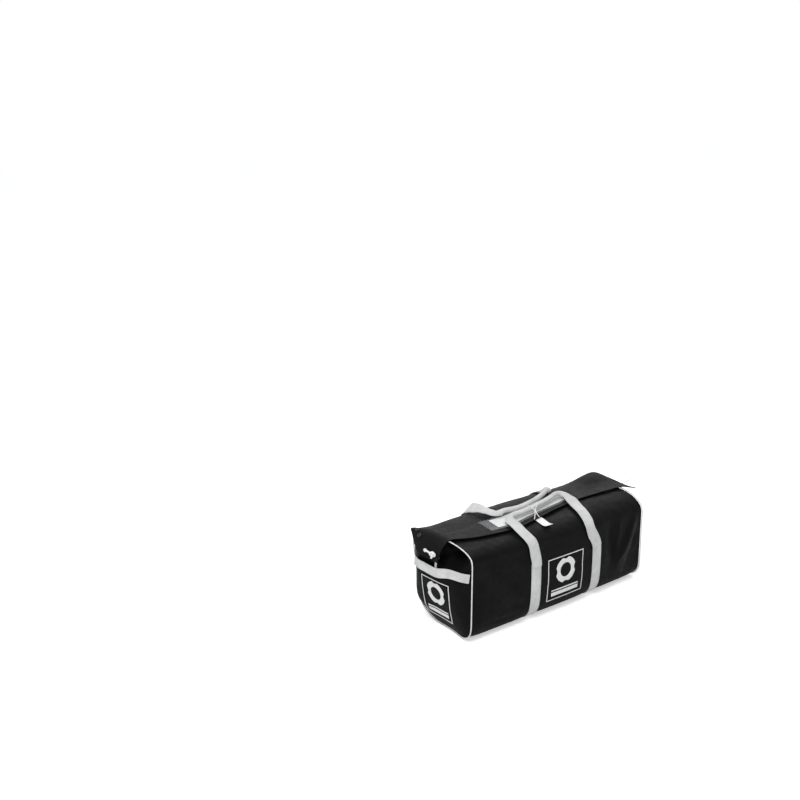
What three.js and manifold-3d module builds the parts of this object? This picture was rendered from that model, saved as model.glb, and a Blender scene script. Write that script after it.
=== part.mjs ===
// A liferaft valise: a soft duffel of coated fabric, packed tight with a folded raft.
// Millimetres, +Z up. X runs along the bag, the carried handles lie along it, and the
// front panel faces -Y. The origin is on the floor, under the middle of the bag.

import * as THREE from 'three';
import { mergeVertices } from 'three/addons/utils/BufferGeometryUtils.js';
import Module from 'manifold-3d';

const wasm = await Module();
wasm.setup();

// Driving dimensions of the bag
const LENGTH = 760; // between the piped end seams
const FRONT_REACH = 150; // from the middle plane to the front panel at the left end seam
const RIGHT_FRONT_REACH = 141; // the same at the right end seam
const BACK_REACH = 144; // from the middle plane to the back panel
const LEFT_BACK_REACH = 127; // the same at the left end, where the slack seam is drawn in
const HEIGHT = 301; // at the left end seam
const RIGHT_END_DROP = 5; // the right end stands this much lower
const FOOT_RADIUS = 46; // bottom corners of the section
const LEFT_BACK_FOOT_RADIUS = 100; // the slack back corner at the left end
const SHOULDER_REACH = 102; // sideways reach of the elliptic top corners
const LEFT_SHOULDER_DROP = 33; // their drop at the left end
const RIGHT_SHOULDER_DROP = 50; // and at the right end
const SIDE_SWELL = 9; // how far the panels bulge between the ends
const END_LIFT = 5.6; // the end seams curl up off the floor
const END_LIFT_RUN = 46; // over this length
const END_TUCK = 14; // and are drawn in under the sagging end panels

// Cloth, webbing and trim
const SEAM_GAP = 0.3; // between pieces that lie on each other
const FLAP_THICK = 1.6;
const HEM_THICK = 3.0;
const WEB_WIDTH = 40;
const WEB_THICK = 2.4;
const PIPING_RADIUS = 2.5;
const CLOSURE_THICK = 1.3;
const INK_THICK = 0.5;

// Belly straps and the points where the handle webbing leaves them
const LEFT_STRAP_X = -121;
const RIGHT_STRAP_X = 154;

// Flap
const FLAP_EDGE = [
  [-380, -46], [-309, -74], [-241, -85], [-191, -90], [-137, -93], [-46, -77],
  [40, -61], [109, -49], [169, -40], [277, -41], [380, -47],
]; // X and Y of the wavy front edge
const FLAP_REST_GAP = 1.2; // between the flap and the packed body
const FLAP_EDGE_LIFT = 4.4; // the front edge stands off by this much more
const LEFT_OVERHANG = 80; // the flap's hanging left end
const LEFT_OVERHANG_BACK = 28; // the same at its rounded back corner
const RIGHT_OVERHANG = 40;
const RIGHT_OVERHANG_BACK = 8;

const HALF = LENGTH / 2;
const STRAP_HALF = WEB_WIDTH / 2;
const STRAP_SEAT = SEAM_GAP + WEB_THICK; // depth that a belly strap presses into the underside

const fabric = new THREE.MeshStandardMaterial({ color: 0x1b1b1d, roughness: 0.62, metalness: 0 });
const flapFabric = new THREE.MeshStandardMaterial({ color: 0x232326, roughness: 0.58, metalness: 0 });
const webbing = new THREE.MeshStandardMaterial({ color: 0xcfcfcd, roughness: 0.8, metalness: 0 });
const trim = new THREE.MeshStandardMaterial({ color: 0xe8e8e4, roughness: 0.6, metalness: 0 });
const ink = new THREE.MeshStandardMaterial({ color: 0xdcdcda, roughness: 0.7, metalness: 0 });
const film = new THREE.MeshStandardMaterial({ color: 0xb9bcbf, roughness: 0.2, metalness: 0 });
const card = new THREE.MeshStandardMaterial({ color: 0xf6f6f4, roughness: 0.75, metalness: 0 });
const cord = new THREE.MeshStandardMaterial({ color: 0xefefec, roughness: 0.8, metalness: 0 });
const rubber = new THREE.MeshStandardMaterial({ color: 0x2a2a2c, roughness: 0.7, metalness: 0 });
const hook = new THREE.MeshStandardMaterial({ color: 0x111112, roughness: 0.95, metalness: 0 });

const valise = new THREE.Group();

function addPiece(name, geometry, material) {
  const mesh = new THREE.Mesh(geometry, material);
  mesh.name = name;
  valise.add(mesh);
  return mesh;
}

// Small numeric helpers
const { lerp, clamp, smoothstep, degToRad } = THREE.MathUtils;
const bump = (q) => (Math.abs(q) < 1 ? (1 - q * q) ** 2 : 0);
const bell = (q) => Math.exp(-q * q);
const along = (x) => clamp((x + HALF) / LENGTH, 0, 1);
const vector = (x, y, z) => new THREE.Vector3(x, y, z);

function smoothCurve(pairs) {
  const curve = new THREE.SplineCurve(pairs.map(([x, y]) => new THREE.Vector2(x, y)));
  const samples = curve.getPoints(pairs.length * 12);
  return (x) => {
    if (x <= samples[0].x) return samples[0].y;
    for (let i = 1; i < samples.length; i++) {
      const a = samples[i - 1];
      const b = samples[i];
      if (x <= b.x) return lerp(a.y, b.y, (x - a.x) / (b.x - a.x));
    }
    return samples[samples.length - 1].y;
  };
}

// The section, counted in stations: 0 is the middle of the underside, 1 the start of the
// front foot, 2 of the front panel, 3 of the front shoulder, 4 of the top and 5 the middle
// of the top. The back half runs on from 5 to 10 in the same way.
const STATION = { foot: 1, side: 2, shoulder: 3, top: 4, ridge: 5, full: 10 };

const height = (x) => HEIGHT - RIGHT_END_DROP * along(x);
const shoulderDrop = (x) => lerp(LEFT_SHOULDER_DROP, RIGHT_SHOULDER_DROP, along(x));

function footRadius(x, back) {
  return back ? lerp(LEFT_BACK_FOOT_RADIUS, FOOT_RADIUS, smoothstep(along(x), 0, 0.4)) : FOOT_RADIUS;
}

function sideStation(x, z, back = false) {
  const foot = footRadius(x, back);
  return STATION.side + (z - foot) / (height(x) - shoulderDrop(x) - foot);
}

// The panels' distance from the middle plane
function sideReach(x, back) {
  if (!back) return lerp(FRONT_REACH, RIGHT_FRONT_REACH, smoothstep(along(x), 0.5, 1));
  return lerp(LEFT_BACK_REACH, BACK_REACH, smoothstep(along(x), 0, 0.4));
}

function topStation(y, reach) {
  const flat = reach - SHOULDER_REACH;
  const out = Math.abs(y);
  if (out <= flat) return STATION.top + (flat - out) / flat;
  return STATION.shoulder + (2 / Math.PI) * Math.acos(clamp((out - flat) / SHOULDER_REACH, 0, 1));
}

const frontTop = (x, y) => topStation(y, sideReach(x, false));
const backTop = (x, y) => STATION.full - topStation(y, sideReach(x, true));
const backSide = (x, z) => STATION.full - sideStation(x, z, true);

function outline(x, station) {
  const back = station > STATION.ridge;
  const s = back ? STATION.full - station : station;
  const reach = sideReach(x, back);
  const top = height(x);
  const drop = shoulderDrop(x);
  const foot = footRadius(x, back);
  let out;
  let z;
  if (s <= STATION.foot) {
    out = (reach - foot) * s;
    z = 0;
  } else if (s <= STATION.side) {
    const angle = (s - STATION.foot) * Math.PI / 2;
    out = reach - foot * (1 - Math.sin(angle));
    z = foot * (1 - Math.cos(angle));
  } else if (s <= STATION.shoulder) {
    out = reach;
    z = lerp(foot, top - drop, s - STATION.side);
  } else if (s <= STATION.top) {
    const angle = (s - STATION.shoulder) * Math.PI / 2;
    out = reach - SHOULDER_REACH * (1 - Math.cos(angle));
    z = top - drop * (1 - Math.sin(angle));
  } else {
    out = (reach - SHOULDER_REACH) * (STATION.ridge - s);
    z = top;
  }
  return { out, z, back };
}

// Soft folds pressed into the panels: each runs from one point to another in X and Z,
// with a half width and a depth, where a minus depth is a raised roll.
const FRONT_FOLDS = [
  { from: [-345, 262], to: [-165, 92], width: 17, depth: 8 },
  { from: [-372, 214], to: [-205, 60], width: 20, depth: -6 },
  { from: [-300, 268], to: [-176, 186], width: 15, depth: -6 },
  { from: [-240, 150], to: [-190, 40], width: 16, depth: 5 },
  { from: [236, 268], to: [232, 96], width: 16, depth: 8 },
  { from: [276, 262], to: [270, 120], width: 18, depth: -4 },
  { from: [366, 222], to: [262, 62], width: 18, depth: -9 },
  { from: [372, 160], to: [322, 34], width: 16, depth: 8 },
  { from: [-60, 262], to: [60, 214], width: 20, depth: 4 },
];
const BACK_FOLDS = [
  { from: [-330, 250], to: [-190, 70], width: 20, depth: 7 },
  { from: [-60, 262], to: [-20, 80], width: 24, depth: 5 },
  { from: [70, 250], to: [110, 70], width: 22, depth: -5 },
  { from: [230, 262], to: [330, 60], width: 20, depth: 8 },
];
const TOP_FOLDS = [
  { from: [-330, -30], to: [-150, 92], width: 24, depth: 5 },
  { from: [-300, 70], to: [-240, 118], width: 20, depth: -4 },
  { from: [230, 10], to: [372, 60], width: 26, depth: 7 },
  { from: [205, 110], to: [310, 84], width: 20, depth: 5 },
];

function foldDepth(folds, u, v) {
  let depth = 0;
  for (const fold of folds) {
    const [u0, v0] = fold.from;
    const [u1, v1] = fold.to;
    const run = (u1 - u0) ** 2 + (v1 - v0) ** 2;
    const t = clamp(((u - u0) * (u1 - u0) + (v - v0) * (v1 - v0)) / run, 0, 1);
    const away = Math.hypot(u - lerp(u0, u1, t), v - lerp(v0, v1, t));
    depth += fold.depth * bell(away / fold.width) * (0.35 + 0.65 * Math.sin(Math.PI * t));
  }
  return depth;
}

// The raised back corner of the right end, where the packed raft pushes the cloth up
const PEAK = { x: 366, y: 112, spreadX: 62, spreadY: 70, rise: 19 };
// Where the folds and the swell have to die out, at the end seams
const END_FADE = 55;

function formPoint(x, station) {
  const { out, z, back } = outline(x, station);
  const middle = Math.sqrt(Math.max(0, Math.sin(Math.PI * along(x))));
  const free = smoothstep(HALF - Math.abs(x), 0, END_FADE);
  const onSide = smoothstep(z, 10, 70) * (1 - smoothstep(z, height(x) - 50, height(x)));
  const onTop = smoothstep(z, height(x) - 40, height(x) - 6);
  let push = SIDE_SWELL * middle * onSide * (0.55 + 0.45 * bell((z - 130) / 80));
  push -= foldDepth(back ? BACK_FOLDS : FRONT_FOLDS, x, z) * onSide * free;
  const sign = back ? 1 : -1;
  const y = sign * (out + push);
  const lift = END_LIFT * (1 - smoothstep(HALF - Math.abs(x), 0, END_LIFT_RUN)) * (1 - smoothstep(z, 0, 60));
  const peak = PEAK.rise * bell((x - PEAK.x) / PEAK.spreadX) * bell((y - PEAK.y) / PEAK.spreadY) * onTop;
  const dent = foldDepth(TOP_FOLDS, x, y) * onTop * free;
  return vector(x - Math.sign(x) * endTuck(x, y, z), y, z + lift + peak - dent);
}

// The slack end panels sag over their seams, along the floor and up the back corner
function endTuck(x, y, z) {
  const nearEnd = 1 - smoothstep(HALF - Math.abs(x), 0, END_LIFT_RUN);
  const floor = (1 - smoothstep(z, 0, 14)) * smoothstep(y, -122, -45);
  const corner = x < 0 ? (1 - smoothstep(z, 150, 235)) * smoothstep(y, 20, 70) : 0;
  return END_TUCK * nearEnd * Math.max(floor, corner);
}

function formNormal(x, station) {
  const dx = 2;
  const ds = 0.02;
  const alongX = formPoint(Math.min(x + dx, HALF), station).sub(formPoint(Math.max(x - dx, -HALF), station));
  const around = formPoint(x, (station + ds) % STATION.full)
    .sub(formPoint(x, (station - ds + STATION.full) % STATION.full));
  return around.cross(alongX).negate().normalize();
}

// The underside gives way under each belly strap, so the straps lie flush with the floor
function strapSeat(x, station) {
  const under = [LEFT_STRAP_X, RIGHT_STRAP_X].some((s) => Math.abs(x - s) <= STRAP_HALF + 0.01);
  if (!under) return 0;
  const s = station > STATION.ridge ? STATION.full - station : station;
  if (s <= STATION.foot) return STRAP_SEAT;
  return s < STATION.side ? STRAP_SEAT * Math.cos((s - STATION.foot) * Math.PI / 2) : 0;
}

function skin(x, station, offset = 0) {
  const point = formPoint(x, station);
  return point.addScaledVector(formNormal(x, station), offset - strapSeat(x, station));
}

// Turns grids of points into one closed body
class Body {
  constructor() {
    this.points = [];
    this.faces = [];
  }

  point(v) {
    this.points.push(v);
    return this.points.length - 1;
  }

  quad(a, b, c, d) {
    this.faces.push([a, b, c], [a, c, d]);
  }

  geometry() {
    const geometry = new THREE.BufferGeometry();
    geometry.setAttribute('position', new THREE.Float32BufferAttribute(
      this.points.flatMap((p) => [p.x, p.y, p.z]), 3));
    geometry.setIndex(this.faces.flat());
    geometry.computeVertexNormals();
    return geometry;
  }
}

// A thin closed sheet between two grids of the same size, seen from outside with its
// rows running up and its columns running to the right
function sheet(outer, inner) {
  const body = new Body();
  const rows = outer.length;
  const columns = outer[0].length;
  const out = outer.map((row) => row.map((p) => body.point(p)));
  const inn = inner.map((row) => row.map((p) => body.point(p)));
  for (let r = 0; r + 1 < rows; r++) {
    for (let c = 0; c + 1 < columns; c++) {
      body.quad(out[r][c], out[r][c + 1], out[r + 1][c + 1], out[r + 1][c]);
      body.quad(inn[r][c], inn[r + 1][c], inn[r + 1][c + 1], inn[r][c + 1]);
    }
    body.quad(out[r][0], out[r + 1][0], inn[r + 1][0], inn[r][0]);
    body.quad(out[r + 1][columns - 1], out[r][columns - 1], inn[r][columns - 1], inn[r + 1][columns - 1]);
  }
  for (let c = 0; c + 1 < columns; c++) {
    body.quad(out[0][c + 1], out[0][c], inn[0][c], inn[0][c + 1]);
    body.quad(out[rows - 1][c], out[rows - 1][c + 1], inn[rows - 1][c + 1], inn[rows - 1][c]);
  }
  return body.geometry();
}

// Grid lines of the bag: columns along X, with lines on the strap edges, and rows around
function spread(from, to, count) {
  return Array.from({ length: count }, (_, i) => lerp(from, to, i / count));
}

const COLUMNS = [
  ...spread(-HALF, LEFT_STRAP_X - STRAP_HALF, 8),
  ...spread(LEFT_STRAP_X - STRAP_HALF, LEFT_STRAP_X + STRAP_HALF, 2),
  ...spread(LEFT_STRAP_X + STRAP_HALF, RIGHT_STRAP_X - STRAP_HALF, 7),
  ...spread(RIGHT_STRAP_X - STRAP_HALF, RIGHT_STRAP_X + STRAP_HALF, 2),
  ...spread(RIGHT_STRAP_X + STRAP_HALF, HALF, 7),
  HALF,
];
const ROW_COUNTS = { floor: 3, foot: 3, side: 7, shoulder: 5, top: 4 };
const EDGE_ROW = ROW_COUNTS.floor + ROW_COUNTS.foot + ROW_COUNTS.side + ROW_COUNTS.shoulder;
const RIDGE_ROW = EDGE_ROW + ROW_COUNTS.top;
const ROWS = 2 * RIDGE_ROW;
const FLAP_BACK_ROW = RIDGE_ROW + ROW_COUNTS.top + 3;

const flapEdgeY = smoothCurve(FLAP_EDGE);
const flapEdgeStation = (x) => frontTop(x, flapEdgeY(x));

// One row follows the flap's wavy edge, so the flap can share the bag's own grid
function rowStations(x) {
  return [
    ...spread(0, STATION.foot, ROW_COUNTS.floor),
    ...spread(STATION.foot, STATION.side, ROW_COUNTS.foot),
    ...spread(STATION.side, STATION.shoulder, ROW_COUNTS.side),
    ...spread(STATION.shoulder, flapEdgeStation(x), ROW_COUNTS.shoulder),
    ...spread(flapEdgeStation(x), STATION.ridge, ROW_COUNTS.top),
    ...spread(STATION.ridge, STATION.full - STATION.top, ROW_COUNTS.top),
    ...spread(STATION.full - STATION.top, STATION.full - STATION.shoulder, ROW_COUNTS.shoulder),
    ...spread(STATION.full - STATION.shoulder, STATION.full - STATION.side, ROW_COUNTS.side),
    ...spread(STATION.full - STATION.side, STATION.full - STATION.foot, ROW_COUNTS.foot),
    ...spread(STATION.full - STATION.foot, STATION.full, ROW_COUNTS.floor),
  ];
}

// How far the end panels stand out from the seam plane, at a distance in from the seam
function seamDistance(ring, y, z) {
  let least = Infinity;
  for (let i = 0; i < ring.length; i++) {
    const a = ring[i];
    const b = ring[(i + 1) % ring.length];
    const run = (b.y - a.y) ** 2 + (b.z - a.z) ** 2;
    const t = clamp(((y - a.y) * (b.y - a.y) + (z - a.z) * (b.z - a.z)) / run, 0, 1);
    least = Math.min(least, Math.hypot(y - lerp(a.y, b.y, t), z - lerp(a.z, b.z, t)));
  }
  return least;
}

const END_PILLOW = 62; // the seam's pull dies out over this distance
const SLACK_PILLOW = 34; // and over this one where the slack end sags over its seam
const pillow = (distance, run = END_PILLOW) => 1 - (1 - clamp(distance / run, 0, 1)) ** 2;

function leftEndStand(ring, y, z) {
  const slack = Math.max(smoothstep(y, -30, 70), (1 - smoothstep(z, 10, 60)) * smoothstep(y, -140, -90));
  const rise = pillow(seamDistance(ring, y, z), lerp(END_PILLOW, SLACK_PILLOW, slack));
  const pack = lerp(9, 17, smoothstep(z, 20, 110)) + 19 * bell((y + 6) / 95) * bell((z - 176) / 70)
    + 9 * smoothstep(y, 0, 80);
  const pocket = 92 * bump((y + 66) / 84) * bump((z - 276) / 52);
  return rise * (pack - pocket);
}

function rightEndStand(ring, y, z) {
  const rise = pillow(seamDistance(ring, y, z));
  const pack = 17 + 12 * bell(y / 100) * bell((z - 140) / 80);
  const shoulder = 16 * bell((y + 104) / 34) * bell((z - 248) / 34);
  return rise * (pack + shoulder);
}

// The bag and the folded raft inside it: one solid, since nothing of the raft shows
function makePackedBody() {
  const body = new Body();
  const grid = COLUMNS.map((x) => rowStations(x).map((s) => body.point(skin(x, s))));
  for (let c = 0; c + 1 < COLUMNS.length; c++) {
    for (let r = 0; r < ROWS; r++) {
      const next = (r + 1) % ROWS;
      body.quad(grid[c][r], grid[c + 1][r], grid[c + 1][next], grid[c][next]);
    }
  }
  closeEnd(body, grid[0], leftEndStand, -1);
  closeEnd(body, grid[COLUMNS.length - 1], rightEndStand, 1);
  return body.geometry();
}

// An end panel as a four-sided patch whose corners lie in the feet and the shoulders
function closeEnd(body, ringIndices, stand, direction) {
  const ring = ringIndices.map((i) => body.points[i]);
  const acrossCells = 10;
  const upCells = RIDGE_ROW - acrossCells;
  const start = acrossCells / 2;
  const at = (i) => ring[(i + ROWS) % ROWS];
  const index = (i) => ringIndices[(i + ROWS) % ROWS];
  // across runs from the back to the front, up from the floor to the ridge
  const bottom = (i) => -start + i;
  const top = (i) => RIDGE_ROW + start - i;
  const front = (j) => start + j;
  const back = (j) => -start - j;
  const patch = [];
  for (let j = 0; j <= upCells; j++) {
    patch.push([]);
    for (let i = 0; i <= acrossCells; i++) {
      if (j === 0) patch[j].push(index(bottom(i)));
      else if (j === upCells) patch[j].push(index(top(i)));
      else if (i === 0) patch[j].push(index(back(j)));
      else if (i === acrossCells) patch[j].push(index(front(j)));
      else {
        const u = i / acrossCells;
        const v = j / upCells;
        const blend = (axis) => (1 - v) * at(bottom(i))[axis] + v * at(top(i))[axis]
          + (1 - u) * at(back(j))[axis] + u * at(front(j))[axis]
          - (1 - u) * (1 - v) * at(bottom(0))[axis] - u * (1 - v) * at(bottom(acrossCells))[axis]
          - (1 - u) * v * at(top(0))[axis] - u * v * at(top(acrossCells))[axis];
        const y = blend('y');
        const z = blend('z');
        patch[j].push(body.point(vector(direction * (HALF + stand(ring, y, z)), y, z)));
      }
    }
  }
  for (let j = 0; j < upCells; j++) {
    for (let i = 0; i < acrossCells; i++) {
      const corners = [patch[j][i], patch[j][i + 1], patch[j + 1][i + 1], patch[j + 1][i]];
      if (direction > 0) corners.reverse();
      body.quad(...corners);
    }
  }
}

const packedBody = addPiece('packed_body', makePackedBody(), fabric);
const farOut = 2 * LENGTH;

// Where a straight line in towards the bag first meets the finished body
function hitBody(from, direction) {
  return new THREE.Raycaster(from, direction).intersectObject(packedBody)[0];
}

// The white piping in each end seam: a round cord that runs all the way round
function makePiping(direction) {
  const x = direction * HALF;
  const sides = 5;
  const seat = PIPING_RADIUS + 2 * SEAM_GAP;
  const body = new Body();
  const ring = rowStations(x).map((s) => {
    const normal = formNormal(x, s);
    normal.x = 0;
    normal.normalize();
    const centre = skin(x, s).addScaledVector(normal, 0.8 * seat);
    centre.x += direction * 0.6 * seat;
    return Array.from({ length: sides }, (_, k) => {
      const angle = 2 * Math.PI * k / sides;
      const p = centre.clone().addScaledVector(normal, PIPING_RADIUS * Math.cos(angle));
      p.x += PIPING_RADIUS * Math.sin(angle);
      return body.point(p);
    });
  });
  for (let r = 0; r < ring.length; r++) {
    const next = (r + 1) % ring.length;
    for (let k = 0; k < sides; k++) {
      const k2 = (k + 1) % sides;
      body.quad(ring[r][k], ring[r][k2], ring[next][k2], ring[next][k]);
    }
  }
  return body.geometry();
}

// A layer that lies on the bag between two rows and two columns of its grid
function layer(firstRow, lastRow, columns, innerOffset, thickness) {
  const grid = (offset) => {
    const rows = [];
    for (let r = firstRow; r <= lastRow; r++) {
      rows.push(columns.map((x) => {
        const station = rowStations(x)[(r + ROWS) % ROWS];
        return skin(x, station, offset(x, r));
      }));
    }
    return rows;
  };
  return sheet(grid((x, r) => innerOffset(x, r) + thickness(x, r)), grid(innerOffset));
}

const BELLY_TOP_ROW = ROW_COUNTS.floor + ROW_COUNTS.foot + 5; // where the belly straps end on the panels

function makeBellyStrap(centre) {
  const columns = COLUMNS.filter((x) => Math.abs(x - centre) <= STRAP_HALF + 0.01);
  return layer(-BELLY_TOP_ROW, BELLY_TOP_ROW, columns, () => SEAM_GAP, () => WEB_THICK);
}

// The top flap, sewn along the back shoulder; v is 0 at its front edge and 1 at the seam
const flapCells = FLAP_BACK_ROW - EDGE_ROW;

function flapGap(x, v) {
  const edge = FLAP_EDGE_LIFT * (1 - smoothstep(v, 0.28, 0.62));
  const overPiping = 2.3 * (PIPING_RADIUS + SEAM_GAP) * smoothstep(Math.abs(x), HALF - 46, HALF);
  return Math.max(FLAP_REST_GAP + edge, FLAP_REST_GAP + overPiping);
}

const flapThickness = (v) => lerp(HEM_THICK, FLAP_THICK, smoothstep(v, 0, 1.4 / flapCells));

// The flap runs on past both end seams: down over the left end, straight out at the right
function stationAtRow(x, row) {
  const stations = rowStations(x);
  const low = Math.min(Math.floor(row), FLAP_BACK_ROW - 1);
  return lerp(stations[low], stations[low + 1], row - low);
}

function flapLeftEnd(row, t, offset) {
  const v = (row - EDGE_ROW) / flapCells;
  const point = skin(-HALF, stationAtRow(-HALF, row), flapGap(-HALF, v) + offset);
  const ear = smoothstep(v, 0.8, 1);
  const reach = t * lerp(LEFT_OVERHANG, LEFT_OVERHANG_BACK, ear);
  const fall = degToRad(14 + 34 * t); // slope of the chord from the seam
  const face = degToRad(14 + 60 * t); // slope of the cloth itself
  point.x -= reach * Math.cos(fall) + offset * Math.sin(face);
  point.z -= reach * Math.sin(fall) + offset * (1 - Math.cos(face));
  point.y += t * (18 * ear - 7);
  point.z += 22 * ear * t;
  return point;
}

function flapRightEnd(row, t, offset) {
  const v = (row - EDGE_ROW) / flapCells;
  const point = skin(HALF, stationAtRow(HALF, row), flapGap(HALF, v) + offset);
  point.x += t * lerp(RIGHT_OVERHANG, RIGHT_OVERHANG_BACK, v);
  point.y -= 30 * t * (1 - smoothstep(v, 0, 0.35));
  point.z -= t * 8 * bell((v - 0.1) / 0.25);
  return point;
}

// A place on the hanging left end, with the way that its face looks
function onOverhang(row, t, clearance) {
  const thick = flapThickness((row - EDGE_ROW) / flapCells);
  const p = flapLeftEnd(row, t, thick);
  const down = flapLeftEnd(row, t + 0.05, thick).sub(p);
  const across = flapLeftEnd(row + 0.2, t, thick).sub(p);
  const n = across.cross(down).normalize();
  if (n.z < 0) n.negate();
  return { p: p.addScaledVector(n, clearance), n };
}

function makeFlap() {
  const leftSteps = [1, 0.75, 0.5, 0.25];
  const rightSteps = [0.4, 1];
  const grid = (thick) => {
    const rows = [];
    for (let r = EDGE_ROW; r <= FLAP_BACK_ROW; r++) {
      const v = (r - EDGE_ROW) / flapCells;
      const offset = thick ? flapThickness(v) : 0;
      rows.push([
        ...leftSteps.map((t) => flapLeftEnd(r, t, offset)),
        ...COLUMNS.map((x) => skin(x, rowStations(x)[r], flapGap(x, v) + offset)),
        ...rightSteps.map((t) => flapRightEnd(r, t, offset)),
      ]);
    }
    return rows;
  };
  return sheet(grid(true), grid(false));
}

// A length of webbing, film or tape along a smooth line. Each stop gives a point on its
// spine, the direction its face looks, and how far its edges are rolled in under it.
const WEB_SIDES = 7; // points across each face
const ROLL_CLOSURE = 0.92; // share of a full turn that a rolled grip wraps
const ROLL_RADIUS = WEB_WIDTH / (2 * Math.PI * ROLL_CLOSURE);

function ribbonStops(stops, steps) {
  const line = new THREE.CatmullRomCurve3(stops.map((s) => s.p), false, 'centripetal');
  const result = [];
  for (let i = 0; i <= steps; i++) {
    const u = i / steps;
    const t = line.getUtoTmapping(u);
    const place = t * (stops.length - 1);
    const low = Math.min(Math.floor(place), stops.length - 2);
    const share = place - low;
    const face = stops[low].n.clone().lerp(stops[low + 1].n, share);
    const roll = lerp(stops[low].roll ?? 0, stops[low + 1].roll ?? 0, smoothstep(share, 0, 1));
    const tangent = line.getTangent(t);
    face.addScaledVector(tangent, -face.dot(tangent)).normalize();
    const across = tangent.clone().cross(face);
    result.push({ p: line.getPoint(t), face, across, tangent, roll });
  }
  return result;
}

function ribbon(stops, steps, width = WEB_WIDTH, thick = WEB_THICK, sides = WEB_SIDES) {
  const body = new Body();
  const rings = ribbonStops(stops, steps).map(({ p, face, across, roll }) => {
    const bend = roll * 2 * Math.PI * ROLL_CLOSURE / width;
    const place = (s, off) => {
      const angle = bend * s;
      const radius = bend > 1e-5 ? 1 / bend : 0;
      const x = bend > 1e-5 ? (radius + off) * Math.sin(angle) : s;
      const z = bend > 1e-5 ? (radius + off) * Math.cos(angle) - radius : off;
      return p.clone().addScaledVector(across, x).addScaledVector(face, z);
    };
    const row = [];
    for (let k = 0; k < sides; k++) row.push(place(lerp(-width / 2, width / 2, k / (sides - 1)), thick / 2));
    for (let k = 0; k < sides; k++) row.push(place(lerp(width / 2, -width / 2, k / (sides - 1)), -thick / 2));
    return row.map((v) => body.point(v));
  });
  const around = 2 * sides;
  for (let i = 0; i + 1 < rings.length; i++) {
    for (let k = 0; k < around; k++) {
      const next = (k + 1) % around;
      body.quad(rings[i][k], rings[i][next], rings[i + 1][next], rings[i + 1][k]);
    }
  }
  for (let k = 0; k + 1 < sides; k++) {
    const last = rings[rings.length - 1];
    body.quad(rings[0][k], rings[0][around - 1 - k], rings[0][around - 2 - k], rings[0][k + 1]);
    body.quad(last[k], last[k + 1], last[around - 2 - k], last[around - 1 - k]);
  }
  return body.geometry();
}

// A stop that lies on the bag at an offset from its skin
function onSkin(x, station, offset, roll = 0) {
  return { p: skin(x, station, offset), n: formNormal(x, station), roll };
}

const stop = (p, n, roll = 0) => ({ p: vector(...p), n: vector(...n).normalize(), roll });

// Carrying handles: each is one length of webbing, sewn over the upper ends of both belly
// straps on its side, with its middle rolled round a tube for a grip. They lie together
// on the flap.
const LAP = 18; // how far the handle webbing is sewn down over a belly strap
const SEWN = SEAM_GAP + WEB_THICK + SEAM_GAP + WEB_THICK / 2; // spine of the sewn-down ends
const GRIP_STAND = 29; // the rolled grips' top above the bag
const GRIP_TOP = HEIGHT + GRIP_STAND;
const bellyTop = FOOT_RADIUS + 5 * (HEIGHT - LEFT_SHOULDER_DROP - FOOT_RADIUS) / ROW_COUNTS.side;

function sewnStop(x, side, z) {
  return onSkin(x, side(x, z), SEWN);
}

const frontHandle = [
  sewnStop(LEFT_STRAP_X, sideStation, bellyTop - LAP),
  sewnStop(LEFT_STRAP_X - 1, sideStation, bellyTop),
  onSkin(LEFT_STRAP_X - 8, sideStation(LEFT_STRAP_X, bellyTop + 28), 4.4),
  onSkin(LEFT_STRAP_X - 17, frontTop(LEFT_STRAP_X, -148), 5),
  onSkin(-143, frontTop(-143, -136), 6.5),
  onSkin(-148, frontTop(-148, -112), 10),
  onSkin(-149, frontTop(-149, -86), 16.5),
  onSkin(-147, frontTop(-147, -64), 23, 0.2),
  stop([-137, -47, GRIP_TOP - 4], [-0.2, 0, 1], 0.6),
  stop([-120, -42, GRIP_TOP], [0, 0, 1], 1),
  stop([-90, -43, GRIP_TOP + 1], [0, 0, 1], 1),
  stop([-42, -38, GRIP_TOP + 1], [0, 0, 1], 1),
  stop([16, -26, GRIP_TOP + 1], [0, 0, 1], 1),
  stop([82, -6, GRIP_TOP], [0, 0, 1], 1),
  stop([120, 6, GRIP_TOP], [0, 0, 1], 1),
  stop([141, 4, GRIP_TOP - 3], [0.2, 0, 1], 0.6),
  stop([149, -14, GRIP_TOP - 7], [0.2, -0.2, 1], 0.25),
  onSkin(143, frontTop(143, -42), 14.5),
  onSkin(133, frontTop(133, -72), 9.5),
  onSkin(127, frontTop(127, -102), 7.5),
  onSkin(121, frontTop(121, -128), 6),
  onSkin(117, frontTop(117, -143), 5),
  onSkin(125, sideStation(125, bellyTop + 33), 4.6),
  onSkin(RIGHT_STRAP_X - 17, sideStation(RIGHT_STRAP_X, bellyTop + 14), 4.6),
  sewnStop(RIGHT_STRAP_X - 7, sideStation, bellyTop - 4),
  sewnStop(RIGHT_STRAP_X - 2, sideStation, bellyTop - LAP - 4),
];

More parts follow.
